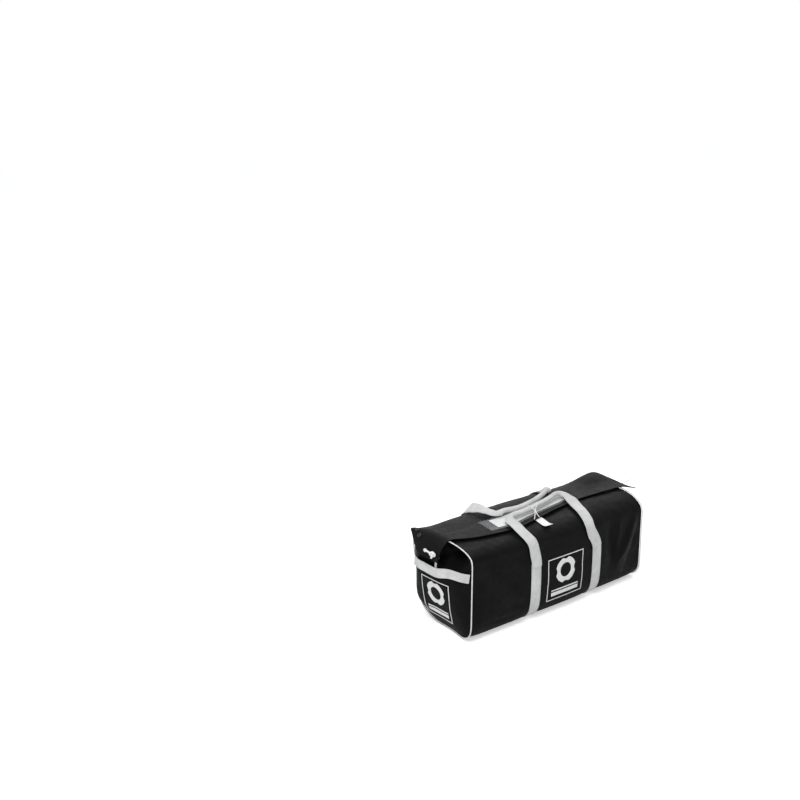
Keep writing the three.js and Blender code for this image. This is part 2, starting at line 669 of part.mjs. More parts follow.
const backHandle = [
  sewnStop(LEFT_STRAP_X, backSide, bellyTop - LAP),
  sewnStop(LEFT_STRAP_X - 3, backSide, bellyTop),
  onSkin(-134, backSide(-134, bellyTop + 28), 6),
  stop([-143, 159, GRIP_TOP - 70], [0, 1, 0.2]),
  stop([-149, 149, GRIP_TOP - 46], [-0.3, 0.8, 0.5]),
  stop([-152, 126, GRIP_TOP - 28], [-0.6, 0.4, 0.7]),
  stop([-151, 97, GRIP_TOP - 20], [-0.5, 0, 0.8]),
  stop([-149, 68, GRIP_TOP - 17], [-0.1, 0, 1]),
  stop([-148, 38, GRIP_TOP - 14], [0, 0, 1]),
  stop([-140, 10, GRIP_TOP - 6], [0, 0, 1], 0.35),
  stop([-118, 2, GRIP_TOP], [0, 0, 1], 1),
  stop([-66, -8, GRIP_TOP + 1], [0, 0, 1], 1),
  stop([4, 3, GRIP_TOP + 1], [0, 0, 1], 1),
  stop([66, 24, GRIP_TOP], [0, 0, 1], 1),
  stop([108, 44, GRIP_TOP], [0, 0, 1], 1),
  stop([133, 64, GRIP_TOP - 4], [0, 0, 1], 0.45),
  onSkin(145, backTop(145, 88), 11),
  onSkin(150, backTop(150, 114), 8),
  onSkin(153, backTop(153, 139), 6),
  onSkin(RIGHT_STRAP_X, backSide(RIGHT_STRAP_X, bellyTop + 34), 4.4),
  sewnStop(RIGHT_STRAP_X, backSide, bellyTop),
  sewnStop(RIGHT_STRAP_X, backSide, bellyTop - LAP),
];

const HANDLE_STEPS = 33;

// The tube inside a rolled grip, along the axis of the roll, clear of the roll's flat facets
const ROLL_BORE = (ROLL_RADIUS - WEB_THICK / 2) * Math.cos(Math.PI * ROLL_CLOSURE / (WEB_SIDES - 1));

function makeGripTube(stops) {
  const rolled = stops.filter((s) => s.roll === 1);
  const axis = new THREE.CatmullRomCurve3(
    rolled.map(({ p }) => p.clone().setZ(p.z - ROLL_RADIUS)), false, 'centripetal');
  return tube(axis, ROLL_BORE - 3 * SEAM_GAP, 8, 12);
}

// A closed round bar along a curve
function tube(curve, radius, sides, steps) {
  const section = new THREE.Shape(Array.from({ length: sides }, (_, k) => new THREE.Vector2(
    radius * Math.cos(2 * Math.PI * k / sides), radius * Math.sin(2 * Math.PI * k / sides))));
  return joined(new THREE.ExtrudeGeometry(section, { steps, extrudePath: curve, bevelEnabled: false }));
}

function joined(geometry) {
  geometry.deleteAttribute('uv');
  geometry.deleteAttribute('normal');
  const merged = mergeVertices(geometry, 1e-4);
  merged.computeVertexNormals();
  return merged;
}

// Webbing across each end panel, sewn in at the seams and standing off in the middle
const END_WEB_WIDTH = 30;
const END_WEB_STEPS = 18;

// Both ends of an end handle lie on the panel; the stops between stand off from the seam plane
function endHandle(direction, [first, last], between) {
  const sewn = ([y, z]) => {
    const { point, face } = hitBody(vector(direction * farOut, y, z), vector(-direction, 0, 0));
    return { p: point.addScaledVector(face.normal, WEB_THICK / 2 + 2 * SEAM_GAP), n: face.normal };
  };
  const free = between.map(([stand, y, z]) => stop([direction * (HALF + stand), y, z], [direction, 0, 0]));
  const stops = [sewn(first), ...free, sewn(last)];
  return ribbon(direction < 0 ? stops : stops.reverse(), END_WEB_STEPS, END_WEB_WIDTH, WEB_THICK, 3);
}

const LEFT_HANDLE_ENDS = [[-143, 216], [84, 207]];
const LEFT_HANDLE_STOPS = [
  [22, -126, 219], [38, -88, 222], [51, -46, 214], [51, -16, 212],
  [49, 18, 211], [46, 48, 209],
];
const RIGHT_HANDLE_ENDS = [[-130, 203], [132, 199]];
const RIGHT_HANDLE_STOPS = [
  [27, -108, 205], [42, -66, 205], [50, -20, 204], [48, 30, 202],
  [38, 72, 201], [25, 106, 200],
];

// Loose pieces that lie on the flap are measured from its outer face
const flapFace = (x, y) => {
  const station = y <= 0 ? frontTop(x, y) : backTop(x, y);
  const stations = rowStations(x);
  const next = clamp(stations.findIndex((s) => s > station), EDGE_ROW + 1, FLAP_BACK_ROW);
  const share = (station - stations[next - 1]) / (stations[next] - stations[next - 1]);
  const v = (next - 1 + share - EDGE_ROW) / flapCells;
  return { station, offset: flapGap(x, v) + flapThickness(v) };
};

// The clear sleeve on the flap, its card, and the skew that both have on the cloth
const SLEEVE = { from: -235, to: 174, margin: 16, width: 84, skew: 0.2, border: 7, rise: 2.3, film: 0.6 };
const SLEEVE_CLEARANCE = 1.4;
const CARD = { from: -200, to: 156, thick: 0.5, margin: 4 };

function sleeveGrid(xs, ins, offset) {
  return ins.map((inward, row) => xs.map((along, column) => {
    const x = along + SLEEVE.skew * inward;
    const { station, offset: face } = flapFace(x, flapEdgeY(x) + SLEEVE.margin + inward);
    return skin(x, station, face + offset(row, column));
  }));
}

function makeSleeve() {
  const { border, width } = SLEEVE;
  const across = [0, border, width / 2, width - border, width];
  const xs = [SLEEVE.from, ...spread(SLEEVE.from + border, SLEEVE.to - border, 14), SLEEVE.to - border, SLEEVE.to];
  const edge = (row, column) => row === 0 || row === across.length - 1
    || column === 0 || column === xs.length - 1;
  const under = (row, column) => SLEEVE_CLEARANCE + (edge(row, column) ? 0 : SLEEVE.rise);
  return sheet(sleeveGrid(xs, across, (r, c) => under(r, c) + SLEEVE.film), sleeveGrid(xs, across, under));
}

function makeCard() {
  const inset = SLEEVE.border + CARD.margin;
  const across = [inset, SLEEVE.width * 0.5, SLEEVE.width - inset];
  const xs = [...spread(CARD.from, CARD.to, 13), CARD.to];
  return sheet(
    sleeveGrid(xs, across, () => SLEEVE_CLEARANCE + CARD.thick),
    sleeveGrid(xs, across, () => SLEEVE_CLEARANCE));
}

// The white pull tag that hangs out from under the flap's front edge, its end curling up
const TAG = { x: -38, width: 31, thick: 0.8 };

function makeTag() {
  const on = (y, offset) => onSkin(TAG.x, frontTop(TAG.x, y), offset);
  const under = FLAP_REST_GAP + FLAP_EDGE_LIFT - TAG.thick / 2 - 4 * SEAM_GAP;
  const stops = [on(-58, under), on(-76, under), on(-92, 3.2), on(-107, 3), on(-117, 6.5), on(-122, 12)];
  return ribbon(stops, 8, TAG.width, TAG.thick, 3);
}

// Thin cords and the knots on them, joined into one solid each
function solid(geometry) {
  const merged = joined(geometry);
  return new wasm.Manifold(new wasm.Mesh({
    numProp: 3,
    vertProperties: new Float32Array(merged.attributes.position.array),
    triVerts: new Uint32Array(merged.index.array),
  }));
}

function fused(geometries) {
  const mesh = geometries.map(solid).reduce((whole, next) => whole.add(next)).getMesh();
  const geometry = new THREE.BufferGeometry();
  geometry.setAttribute('position', new THREE.BufferAttribute(mesh.vertProperties, 3));
  geometry.setIndex(new THREE.BufferAttribute(mesh.triVerts, 1));
  return joined(geometry);
}

function lump(centre, radii, turn = 0) {
  const geometry = new THREE.SphereGeometry(1, 8, 6);
  geometry.scale(...radii);
  geometry.rotateY(turn);
  geometry.translate(centre.x, centre.y, centre.z);
  return geometry;
}

const cordLine = (points) => new THREE.CatmullRomCurve3(points, false, 'centripetal');

// The thin tie that holds the two grips together: it crosses over the front grip
const TIE_RADIUS = 1.5;
const tiePoint = (x, y, rise) => vector(x, y, GRIP_TOP + rise);
const TIE_KNOT = tiePoint(-40, -62, -5);
const TIE_ENDS = [
  [tiePoint(-76, -96, -14), tiePoint(-58, -80, -10), TIE_KNOT, tiePoint(-20, -48, 2.4), tiePoint(6, -36, 4.2)],
  [tiePoint(-50, -92, -15), tiePoint(-46, -78, -11), TIE_KNOT, tiePoint(-44, -50, 2.4), tiePoint(-46, -32, 4.8)],
];

function makeHandleTie() {
  return fused([
    ...TIE_ENDS.map((points) => tube(cordLine(points), TIE_RADIUS, 6, 6)),
    lump(TIE_KNOT, [4.6, 3.4, 3.6]),
  ]);
}

// The stopper knot of the painter line, drawn up against the hanging end of the flap
const KNOT = { row: EDGE_ROW + 1.7, t: 0.8, long: 14, wide: 12, deep: 9, knob: 5 };

function makePainterKnot() {
  const { p, n } = onOverhang(KNOT.row, KNOT.t, KNOT.deep);
  const lean = Math.atan2(n.x, n.z);
  const knob = onOverhang(KNOT.row + 4.4, KNOT.t - 0.02, KNOT.knob).p;
  return fused([
    lump(p, [KNOT.wide, KNOT.long, KNOT.deep], lean),
    lump(knob, [KNOT.knob, KNOT.knob, KNOT.knob]),
    tube(cordLine([p, knob]), 3, 8, 3),
  ]);
}

// The end of a cord that sticks out from under the flap at the right end
const rightRing = rowStations(HALF).map((s) => skin(HALF, s));
const CORD_TAIL = [
  vector(HALF + rightEndStand(rightRing, -6, 281) + SEAM_GAP, -6, 281), vector(HALF + 24, -6, 283),
  vector(HALF + 38, -9, 290), vector(HALF + 50, -18, 300), vector(HALF + 56, -30, 309),
  vector(HALF + 58, -44, 316),
];
const CORD_TAIL_RADIUS = 1.3;

const leftRing = rowStations(-HALF).map((s) => skin(-HALF, s));

// A tape sewn to the end panel that runs up under the hanging end of the flap
const TAPE = { y: -33, width: 10, thick: 1.2 };

function makeEndTape() {
  const at = (stand, z) => stop([-HALF - stand, TAPE.y, z], [-1, 0, 0]);
  const panel = (z) => leftEndStand(leftRing, TAPE.y, z) + 1.5;
  return ribbon([
    at(panel(198), 198), at(panel(206), 206), at(44, 215), at(45, 228), at(43, 244), at(36, 256),
  ], 10, TAPE.width, TAPE.thick, 2);
}

// Dark eyelets in the back corner of the flap's left end
const EYELET = { outer: 7, inner: 3.4, high: 1.4, clearance: 0.2 };
const EYELET_PLACES = [[EDGE_ROW + 9.4, 0.44], [EDGE_ROW + 10.2, 0.36]];

function addEyelet(name, [row, t]) {
  const { outer, inner, high } = EYELET;
  const profile = [[inner, 0], [outer, 0], [outer, high * 0.6], [outer - 1, high], [inner + 0.6, high], [inner, 0]];
  const geometry = joined(new THREE.LatheGeometry(profile.map(([x, y]) => new THREE.Vector2(x, y)), 10));
  const { p, n } = onOverhang(row, t, EYELET.clearance);
  const mesh = addPiece(name, geometry, rubber);
  mesh.position.copy(p);
  mesh.quaternion.setFromUnitVectors(vector(0, 1, 0), n);
}

// Two strips of hook and loop tape hold the flap's front edge down until the raft inflates
function makeClosureStrip(offset) {
  const columns = COLUMNS.filter((x) => Math.abs(x) < HALF - 50);
  return layer(EDGE_ROW + 1, EDGE_ROW + 2, columns, offset, () => CLOSURE_THICK);
}

const loopStripGap = () => SEAM_GAP;
const hookStripGap = (x, row) => flapGap(x, (row - EDGE_ROW) / flapCells) - CLOSURE_THICK - SEAM_GAP;

// Printed figures lie on a panel as a thin skin of ink, in short steps that bend with the cloth
const INK_STEP = 14;
const INK_GAP = 0.55; // clears the flat facets of the bag

// A closed band of ink between an outer and an inner line with the same number of points
function inkRing(outer, inner, place) {
  const body = new Body();
  const top = INK_GAP + INK_THICK;
  const rings = [[outer, top], [outer, INK_GAP], [inner, INK_GAP], [inner, top]]
    .map(([line, lift]) => line.map(([x, y]) => body.point(place(x, y, lift))));
  rings.forEach((ring, i) => {
    const under = rings[(i + 1) % rings.length];
    ring.forEach((_, k) => {
      const next = (k + 1) % ring.length;
      body.quad(ring[k], under[k], under[next], ring[next]);
    });
  });
  return body.geometry();
}

function inkBar(width, tall, place) {
  const xs = [...spread(-width / 2, width / 2, Math.round(width / INK_STEP)), width / 2];
  const grid = (lift) => [-tall / 2, tall / 2].map((y) => xs.map((x) => place(x, y, lift)));
  return sheet(grid(INK_GAP + INK_THICK), grid(INK_GAP));
}

// The outline of a box, broken into the steps of its printed size
function boxLine(width, tall, inset) {
  const w = width / 2 - inset;
  const h = tall / 2 - inset;
  const corners = [[-w, -h], [w, -h], [w, h], [-w, h]];
  return corners.flatMap((corner, i) => {
    const next = corners[(i + 1) % corners.length];
    const cuts = Math.round((i % 2 ? tall : width) / INK_STEP);
    return Array.from({ length: cuts }, (_, k) => [0, 1].map((axis) => lerp(corner[axis], next[axis], k / cuts)));
  });
}

// A framed lifebuoy over two plain bars, on the front panel and on the left end panel
const FRAME_LINE = 3;
const FRONT_PRINT = { at: 10, z: 121, width: 157, height: 145 };
const END_PRINT = { at: -14, z: 107, width: 122, height: 134 };
const BUOY = { lift: 0.15, outer: 0.3, inner: 0.165, notch: 0.13 }; // four shallow notches in its rim
const BAR = { width: 0.76, low: -0.36, height: 0.085, thinLow: -0.27, thinHeight: 0.03 };

const BUOY_POINTS = 32;

function buoyLine(radius, notch) {
  return Array.from({ length: BUOY_POINTS }, (_, k) => {
    const reach = k % 8 < 2 ? radius * (1 - notch) : radius;
    const angle = 2 * Math.PI * (k - 0.5) / BUOY_POINTS;
    return [reach * Math.cos(angle), reach * Math.sin(angle)];
  });
}

function printSet(side, { width, height: tall }, place) {
  const raised = (share) => (x, y, depth) => place(x, y + share * tall, depth);
  const buoy = [buoyLine(BUOY.outer * tall, BUOY.notch), buoyLine(BUOY.inner * tall, 0)];
  const bar = (share) => [BAR.width * width, share * tall];
  addPiece(`print_frame_${side}`,
    inkRing(boxLine(width, tall, 0), boxLine(width, tall, FRAME_LINE), place), ink);
  addPiece(`print_buoy_${side}`, inkRing(...buoy, raised(BUOY.lift)), ink);
  addPiece(`print_bar_wide_${side}`, inkBar(...bar(BAR.height), raised(BAR.low)), ink);
  addPiece(`print_bar_thin_${side}`, inkBar(...bar(BAR.thinHeight), raised(BAR.thinLow)), ink);
}

// The print is laid on the finished body, straight in from the front and from the left
function onFrontPanel(u, v, depth) {
  const from = vector(FRONT_PRINT.at + u, -farOut, FRONT_PRINT.z + v);
  return hitBody(from, vector(0, 1, 0)).point.add(vector(0, -depth, 0));
}

function onLeftEnd(u, v, depth) {
  const from = vector(-farOut, END_PRINT.at - u, END_PRINT.z + v);
  return hitBody(from, vector(1, 0, 0)).point.add(vector(-1.7 * depth, 0, 0));
}

addPiece('piping_left', makePiping(-1), trim);
addPiece('piping_right', makePiping(1), trim);
addPiece('belly_strap_left', makeBellyStrap(LEFT_STRAP_X), webbing);
addPiece('belly_strap_right', makeBellyStrap(RIGHT_STRAP_X), webbing);
addPiece('top_flap', makeFlap(), flapFabric);

addPiece('handle_front', ribbon(frontHandle, HANDLE_STEPS), webbing);
addPiece('handle_back', ribbon(backHandle, HANDLE_STEPS), webbing);
addPiece('grip_tube_front', makeGripTube(frontHandle), rubber);
addPiece('grip_tube_back', makeGripTube(backHandle), rubber);
addPiece('end_handle_left', endHandle(-1, LEFT_HANDLE_ENDS, LEFT_HANDLE_STOPS), webbing);
addPiece('end_handle_right', endHandle(1, RIGHT_HANDLE_ENDS, RIGHT_HANDLE_STOPS), webbing);
addPiece('document_sleeve', makeSleeve(), film);
addPiece('document_card', makeCard(), card);
addPiece('pull_tag', makeTag(), trim);
addPiece('closure_loop_strip', makeClosureStrip(loopStripGap), hook);
addPiece('closure_hook_strip', makeClosureStrip(hookStripGap), hook);
printSet('front', FRONT_PRINT, onFrontPanel);
printSet('end', END_PRINT, onLeftEnd);
addPiece('handle_tie', makeHandleTie(), cord);
addPiece('painter_knot', makePainterKnot(), cord);
addPiece('cord_tail_right', tube(cordLine(CORD_TAIL), CORD_TAIL_RADIUS, 6, 7), cord);
addPiece('end_tape_left', makeEndTape(), webbing);
addEyelet('eyelet_low', EYELET_PLACES[0]);
addEyelet('eyelet_high', EYELET_PLACES[1]);

export default valise;
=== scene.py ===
# Liferaft valise: a black coated-fabric carry bag with grey webbing, packed with a raft.
# Metres, in the frame of the CAD model: X along the bag, the printed panel faces -Y.

import math

import bmesh
import bpy
from mathutils import Matrix, Vector, noise
from mathutils.bvhtree import BVHTree


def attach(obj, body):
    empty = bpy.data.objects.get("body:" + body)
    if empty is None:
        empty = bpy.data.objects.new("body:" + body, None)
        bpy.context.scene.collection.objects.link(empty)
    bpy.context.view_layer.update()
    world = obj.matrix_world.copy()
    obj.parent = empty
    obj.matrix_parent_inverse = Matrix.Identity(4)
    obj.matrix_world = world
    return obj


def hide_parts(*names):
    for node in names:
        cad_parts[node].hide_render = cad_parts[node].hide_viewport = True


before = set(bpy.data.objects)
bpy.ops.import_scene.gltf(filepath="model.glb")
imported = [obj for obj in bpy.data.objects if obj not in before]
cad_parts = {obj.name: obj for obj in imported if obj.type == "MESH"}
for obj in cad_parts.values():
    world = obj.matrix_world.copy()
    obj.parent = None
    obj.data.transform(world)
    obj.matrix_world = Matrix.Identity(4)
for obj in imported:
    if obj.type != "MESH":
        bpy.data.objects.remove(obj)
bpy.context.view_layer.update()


# Camera
# The photograph's viewing angle: from the front left and above, at 54 mm.

CAMERA_PLACE = (-2.5545, -2.6073, 1.7692)
YAW = math.radians(37.744)
PITCH = math.radians(16.861)

camera_data = bpy.data.cameras.new("camera")
camera_data.lens = 54.0
camera_data.sensor_width = 36.0
camera_data.clip_start = 0.05
camera_data.clip_end = 60.0
camera = bpy.data.objects.new("camera", camera_data)
bpy.context.scene.collection.objects.link(camera)
camera.location = CAMERA_PLACE
gaze = Vector((math.sin(YAW) * math.cos(PITCH), math.cos(YAW) * math.cos(PITCH), -math.sin(PITCH)))
camera.rotation_euler = gaze.to_track_quat("-Z", "Y").to_euler()
bpy.context.scene.camera = camera


# Studio
# A plain pale floor and soft light from above, with the backdrop seen as white. The floor
# glows a little to the camera alone, so that it is white and keeps the bag's shadow.

WORLD_LIGHT = (0.95, 0.965, 1.0, 1)
WORLD_STRENGTH = 0.58
FLOOR_SIZE = 14.0
FLOOR_GLOW = 0.46
WHITE = (1, 1, 1, 1)

scene = bpy.context.scene
scene.view_settings.view_transform = "Standard"


def make_world():
    """White to camera, glossy and transmission rays, and a soft even light otherwise."""
    world = bpy.data.worlds.new("studio")
    world.use_nodes = True
    nodes, links = world.node_tree.nodes, world.node_tree.links
    nodes.clear()
    path = nodes.new("ShaderNodeLightPath")
    mirrored = nodes.new("ShaderNodeMath")
    mirrored.operation = "ADD"
    links.new(path.outputs["Is Glossy Ray"], mirrored.inputs[0])
    links.new(path.outputs["Is Transmission Ray"], mirrored.inputs[1])
    seen = nodes.new("ShaderNodeMath")
    seen.operation = "ADD"
    seen.use_clamp = True
    links.new(path.outputs["Is Camera Ray"], seen.inputs[0])
    links.new(mirrored.outputs[0], seen.inputs[1])
    plain = nodes.new("ShaderNodeBackground")
    plain.inputs["Color"].default_value = WORLD_LIGHT
    plain.inputs["Strength"].default_value = WORLD_STRENGTH
    white = nodes.new("ShaderNodeBackground")
    white.inputs["Color"].default_value = WHITE
    mix = nodes.new("ShaderNodeMixShader")
    links.new(seen.outputs[0], mix.inputs["Fac"])
    links.new(plain.outputs["Background"], mix.inputs[1])
    links.new(white.outputs["Background"], mix.inputs[2])
    links.new(mix.outputs[0], nodes.new("ShaderNodeOutputWorld").inputs["Surface"])
    return world


scene.world = make_world()


def add_area(name, location, target, size, power):
    """A soft round lamp, its power in watts, that points at the target."""
    light = bpy.data.lights.new(name, "AREA")
    light.shape = "DISK"
    light.size = size
    light.energy = power
    lamp = bpy.data.objects.new(name, light)
    scene.collection.objects.link(lamp)
    lamp.location = location
    lamp.rotation_euler = (Vector(target) - Vector(location)).to_track_quat("-Z", "Y").to_euler()


add_area("key", (-1.6, -0.9, 3.1), (0.0, 0.0, 0.15), 1.7, 66)
add_area("fill", (-3.2, -2.4, 1.5), (0.0, 0.0, 0.15), 2.2, 10)
add_area("rim", (1.9, 1.6, 2.4), (0.0, 0.0, 0.2), 1.5, 22)



def make_floor():
    mesh = bmesh.new()
    bmesh.ops.create_grid(mesh, x_segments=1, y_segments=1, size=FLOOR_SIZE)
    data = bpy.data.meshes.new("studio_floor")
    mesh.to_mesh(data)
    mesh.free()
    finish = bpy.data.materials.new("studio_floor")
    finish.use_nodes = True
    nodes, links = finish.node_tree.nodes, finish.node_tree.links
    shader = nodes["Principled BSDF"]
    shader.inputs["Base Color"].default_value = (0.93, 0.93, 0.93, 1)
    shader.inputs["Roughness"].default_value = 0.85
    shader.inputs["Specular IOR Level"].default_value = 0.2
    strength = nodes.new("ShaderNodeMath")
    strength.operation = "MULTIPLY"
    strength.inputs[1].default_value = FLOOR_GLOW
    links.new(nodes.new("ShaderNodeLightPath").outputs["Is Camera Ray"], strength.inputs[0])
    glow = nodes.new("ShaderNodeEmission")
    glow.inputs["Color"].default_value = WHITE
    links.new(strength.outputs[0], glow.inputs["Strength"])
    both = nodes.new("ShaderNodeAddShader")
    links.new(shader.outputs[0], both.inputs[0])
    links.new(glow.outputs[0], both.inputs[1])
    links.new(both.outputs[0], nodes["Material Output"].inputs["Surface"])
    data.materials.append(finish)
    piece = bpy.data.objects.new("studio_floor", data)
    scene.collection.objects.link(piece)
    return piece


make_floor()


# Packed bag
# The sewn bag of heavy coated fabric, stuffed tight with the folded raft, so its panels
# swell between the seams and crease where the straps and handles pull. It is the CAD body
# made quads, smoothed with its end seams kept, and creased by moves along its normals.

SEAM_HALF = 0.380  # from the middle to an end seam
SEAM_ZONE = (0.355, 0.3801)  # from the middle, where the seam's edges lie
SEAM_ANGLE = math.radians(38)
HARD_ANGLE = math.radians(60)
STRAP_MIDDLES = {"left": -0.121, "right": 0.154}  # X of each belly strap
BAG_LEVELS = 3


def grid_noise(point, scale, seed):
    """Smooth signed noise at a point."""
    return noise.noise(Vector(point) * scale + Vector((seed, seed * 0.37, -seed * 0.71)))


def quads_of(node):
    """A merged copy of a CAD node's mesh, its triangle pairs joined into quads."""
    mesh = bmesh.new()
    mesh.from_mesh(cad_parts[node].data)
    bmesh.ops.remove_doubles(mesh, verts=mesh.verts, dist=1e-6)
    bmesh.ops.join_triangles(
        mesh, faces=mesh.faces, angle_face_threshold=math.radians(50),
        angle_shape_threshold=math.radians(180), cmp_seam=False, cmp_sharp=False,
        cmp_uvs=False, cmp_vcols=False, cmp_materials=False)
    return mesh


def hard_edge(edge):
    return edge.calc_face_angle(0.0) > HARD_ANGLE


def crease_edges(mesh, chosen, amount=1.0):
    """Keeps the chosen edges sharp when the mesh is smoothed."""
    layer = mesh.edges.layers.float.get("crease_edge") or mesh.edges.layers.float.new("crease_edge")
    for edge in mesh.edges:
        if chosen(edge):
            edge[layer] = amount


def add_piece(name, mesh, finish, levels=0):
    """Links a bmesh as a piece on the bag's one body."""
    data = bpy.data.meshes.new(name)
    mesh.to_mesh(data)
    mesh.free()
    data.polygons.foreach_set("use_smooth", [True] * len(data.polygons))
    data.materials.append(finish)
    piece = bpy.data.objects.new(name, data)
    scene.collection.objects.link(piece)
    if levels:
        smoother = piece.modifiers.new("smooth", "SUBSURF")
        smoother.levels = smoother.render_levels = levels
    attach(piece, "root")
    return piece


def finished_mesh(piece):
    """A new mesh of what a piece's modifiers or its curve make."""
    graph = bpy.context.evaluated_depsgraph_get()
    graph.update()
    return bpy.data.meshes.new_from_object(piece.evaluated_get(graph))


def bake(piece):
    """Applies a piece's modifiers to its mesh."""
    data = finished_mesh(piece)
    piece.modifiers.clear()
    piece.data = data


def new_finish(name, colour):
    """A material with its tree and its shader, one colour all over."""
    finish = bpy.data.materials.new(name)
    finish.use_nodes = True
    shader = finish.node_tree.nodes["Principled BSDF"]
    shader.inputs["Base Color"].default_value = (*colour, 1)
    return finish, finish.node_tree, shader


def group_with(name, inputs, outputs):
    """A node group with named sockets: (name, type, value) each."""
    tree = bpy.data.node_groups.new(name, "ShaderNodeTree")
    for label, kind, value in inputs:
        tree.interface.new_socket(label, in_out="INPUT", socket_type=kind).default_value = value
    for label, kind in outputs:
        tree.interface.new_socket(label, in_out="OUTPUT", socket_type=kind)
    return tree, tree.nodes.new("NodeGroupInput"), tree.nodes.new("NodeGroupOutput")


def place_group(tree, group, **values):
    """The group's node, with an underscore in a value's name for a space."""
    node = tree.nodes.new("ShaderNodeGroup")
    node.node_tree = group
    for label, value in values.items():
        node.inputs[label.replace("_", " ")].default_value = value
    return node


def math_node(tree, operation, *operands):
    """A Math node whose operands are sockets or numbers."""
    node = tree.nodes.new("ShaderNodeMath")
    node.operation = operation
    for socket, value in zip(node.inputs, operands):
        if isinstance(value, (int, float)):
            socket.default_value = value
        else:
            tree.links.new(value, socket)
    return node.outputs[0]


def object_place(tree):
    return tree.nodes.new("ShaderNodeTexCoord").outputs["Object"]


def noise_node(tree, vector, scale, detail=3.0, roughness=0.5):
    node = tree.nodes.new("ShaderNodeTexNoise")
    node.inputs["Scale"].default_value = scale
    node.inputs["Detail"].default_value = detail
    node.inputs["Roughness"].default_value = roughness
    tree.links.new(vector, node.inputs["Vector"])
    return node.outputs["Fac"]


def range_node(tree, value, low, high, to_low, to_high):
    """Moves values between low and high to between to_low and to_high."""
    node = tree.nodes.new("ShaderNodeMapRange")
    tree.links.new(value, node.inputs["Value"])
    ends = {"From Min": low, "From Max": high, "To Min": to_low, "To Max": to_high}
    for label, number in ends.items():
        node.inputs[label].default_value = number
    return node.outputs["Result"]


def mix_colour(tree, share, a, b):
    node = tree.nodes.new("ShaderNodeMix")
    node.data_type = "RGBA"
    tree.links.new(share, node.inputs["Factor"])
    for socket, value in ((node.inputs[6], a), (node.inputs[7], b)):
        if isinstance(value, tuple):
            socket.default_value = (*value, 1)
        else:
            tree.links.new(value, socket)
    return node.outputs[2]


FINISH_OUTPUTS = [
    ("Color", "NodeSocketColor"), ("Roughness", "NodeSocketFloat"), ("Height", "NodeSocketFloat"),
]


def cloth_group_tree():
    """Coated cloth: a fine weave under the coating, soft creases, scuffs and pale dust."""
    tree, into, out = group_with(
        "coated_cloth",
        [("Dark", "NodeSocketColor", (0.01, 0.01, 0.01, 1)),
         ("Pale", "NodeSocketColor", (0.03, 0.03, 0.03, 1)), ("Crease", "NodeSocketFloat", 0.5)],
        FINISH_OUTPUTS)
    place = object_place(tree)
    broad = noise_node(tree, place, 7.0, 4.0, 0.55)
    mottled = noise_node(tree, place, 42.0, 5.0, 0.6)
    scuffs = noise_node(tree, place, 160.0, 2.0, 0.5)
    tone = math_node(tree, "ADD", math_node(tree, "MULTIPLY", broad, 0.6),
                     math_node(tree, "MULTIPLY", mottled, 0.4))
    tone = range_node(tree, tone, 0.34, 0.68, 0.0, 1.0)
    colour = mix_colour(tree, tone, into.outputs["Dark"], into.outputs["Pale"])
    tree.links.new(colour, out.inputs["Color"])
    rough = range_node(tree, math_node(tree, "ADD", mottled, math_node(tree, "MULTIPLY", scuffs, 0.5)),
                       0.5, 1.0, 0.40, 0.58)
    tree.links.new(rough, out.inputs["Roughness"])
    waves = []
    for axis in ("X", "Y", "Z"):
        wave = tree.nodes.new("ShaderNodeTexWave")
        wave.bands_direction = axis
        wave.inputs["Scale"].default_value = 190.0
        wave.inputs["Distortion"].default_value = 0.4
        tree.links.new(place, wave.inputs["Vector"])
        waves.append(wave.outputs["Fac"])
    weave = math_node(tree, "MULTIPLY", waves[0], math_node(tree, "MULTIPLY", waves[1], waves[2]))
    crease = noise_node(tree, place, 22.0, 3.0, 0.45)
    ridge = math_node(tree, "ABSOLUTE", math_node(tree, "SUBTRACT", crease, 0.5))
    height = math_node(tree, "ADD", math_node(tree, "MULTIPLY", weave, 0.03),
                       math_node(tree, "MULTIPLY", ridge, into.outputs["Crease"]))
    height = math_node(tree, "ADD", height, math_node(tree, "MULTIPLY", scuffs, 0.04))
    tree.links.new(height, out.inputs["Height"])
    return tree


cloth_group = cloth_group_tree()


def add_bump(tree, shader, height, distance):
    bump = tree.nodes.new("ShaderNodeBump")
    bump.inputs["Distance"].default_value = distance
    tree.links.new(height, bump.inputs["Height"])
    tree.links.new(bump.outputs["Normal"], shader.inputs["Normal"])


def cloth_finish(name, dark, pale, crease):
    """Black coated cloth, mottled between two colours, with creases of the given height."""
    finish, tree, shader = new_finish(name, dark)
    cloth = place_group(tree, cloth_group, Dark=(*dark, 1), Pale=(*pale, 1), Crease=crease)
    tree.links.new(cloth.outputs["Color"], shader.inputs["Base Color"])
    tree.links.new(cloth.outputs["Roughness"], shader.inputs["Roughness"])
    shader.inputs["Specular IOR Level"].default_value = 0.055
    shader.inputs["Sheen Weight"].default_value = 0.008
    shader.inputs["Sheen Roughness"].default_value = 0.5
    add_bump(tree, shader, cloth.outputs["Height"], 0.004)
    return finish


shell_cloth = cloth_finish("shell_cloth", (0.0022, 0.0022, 0.0025), (0.0048, 0.0048, 0.0052), 0.55)

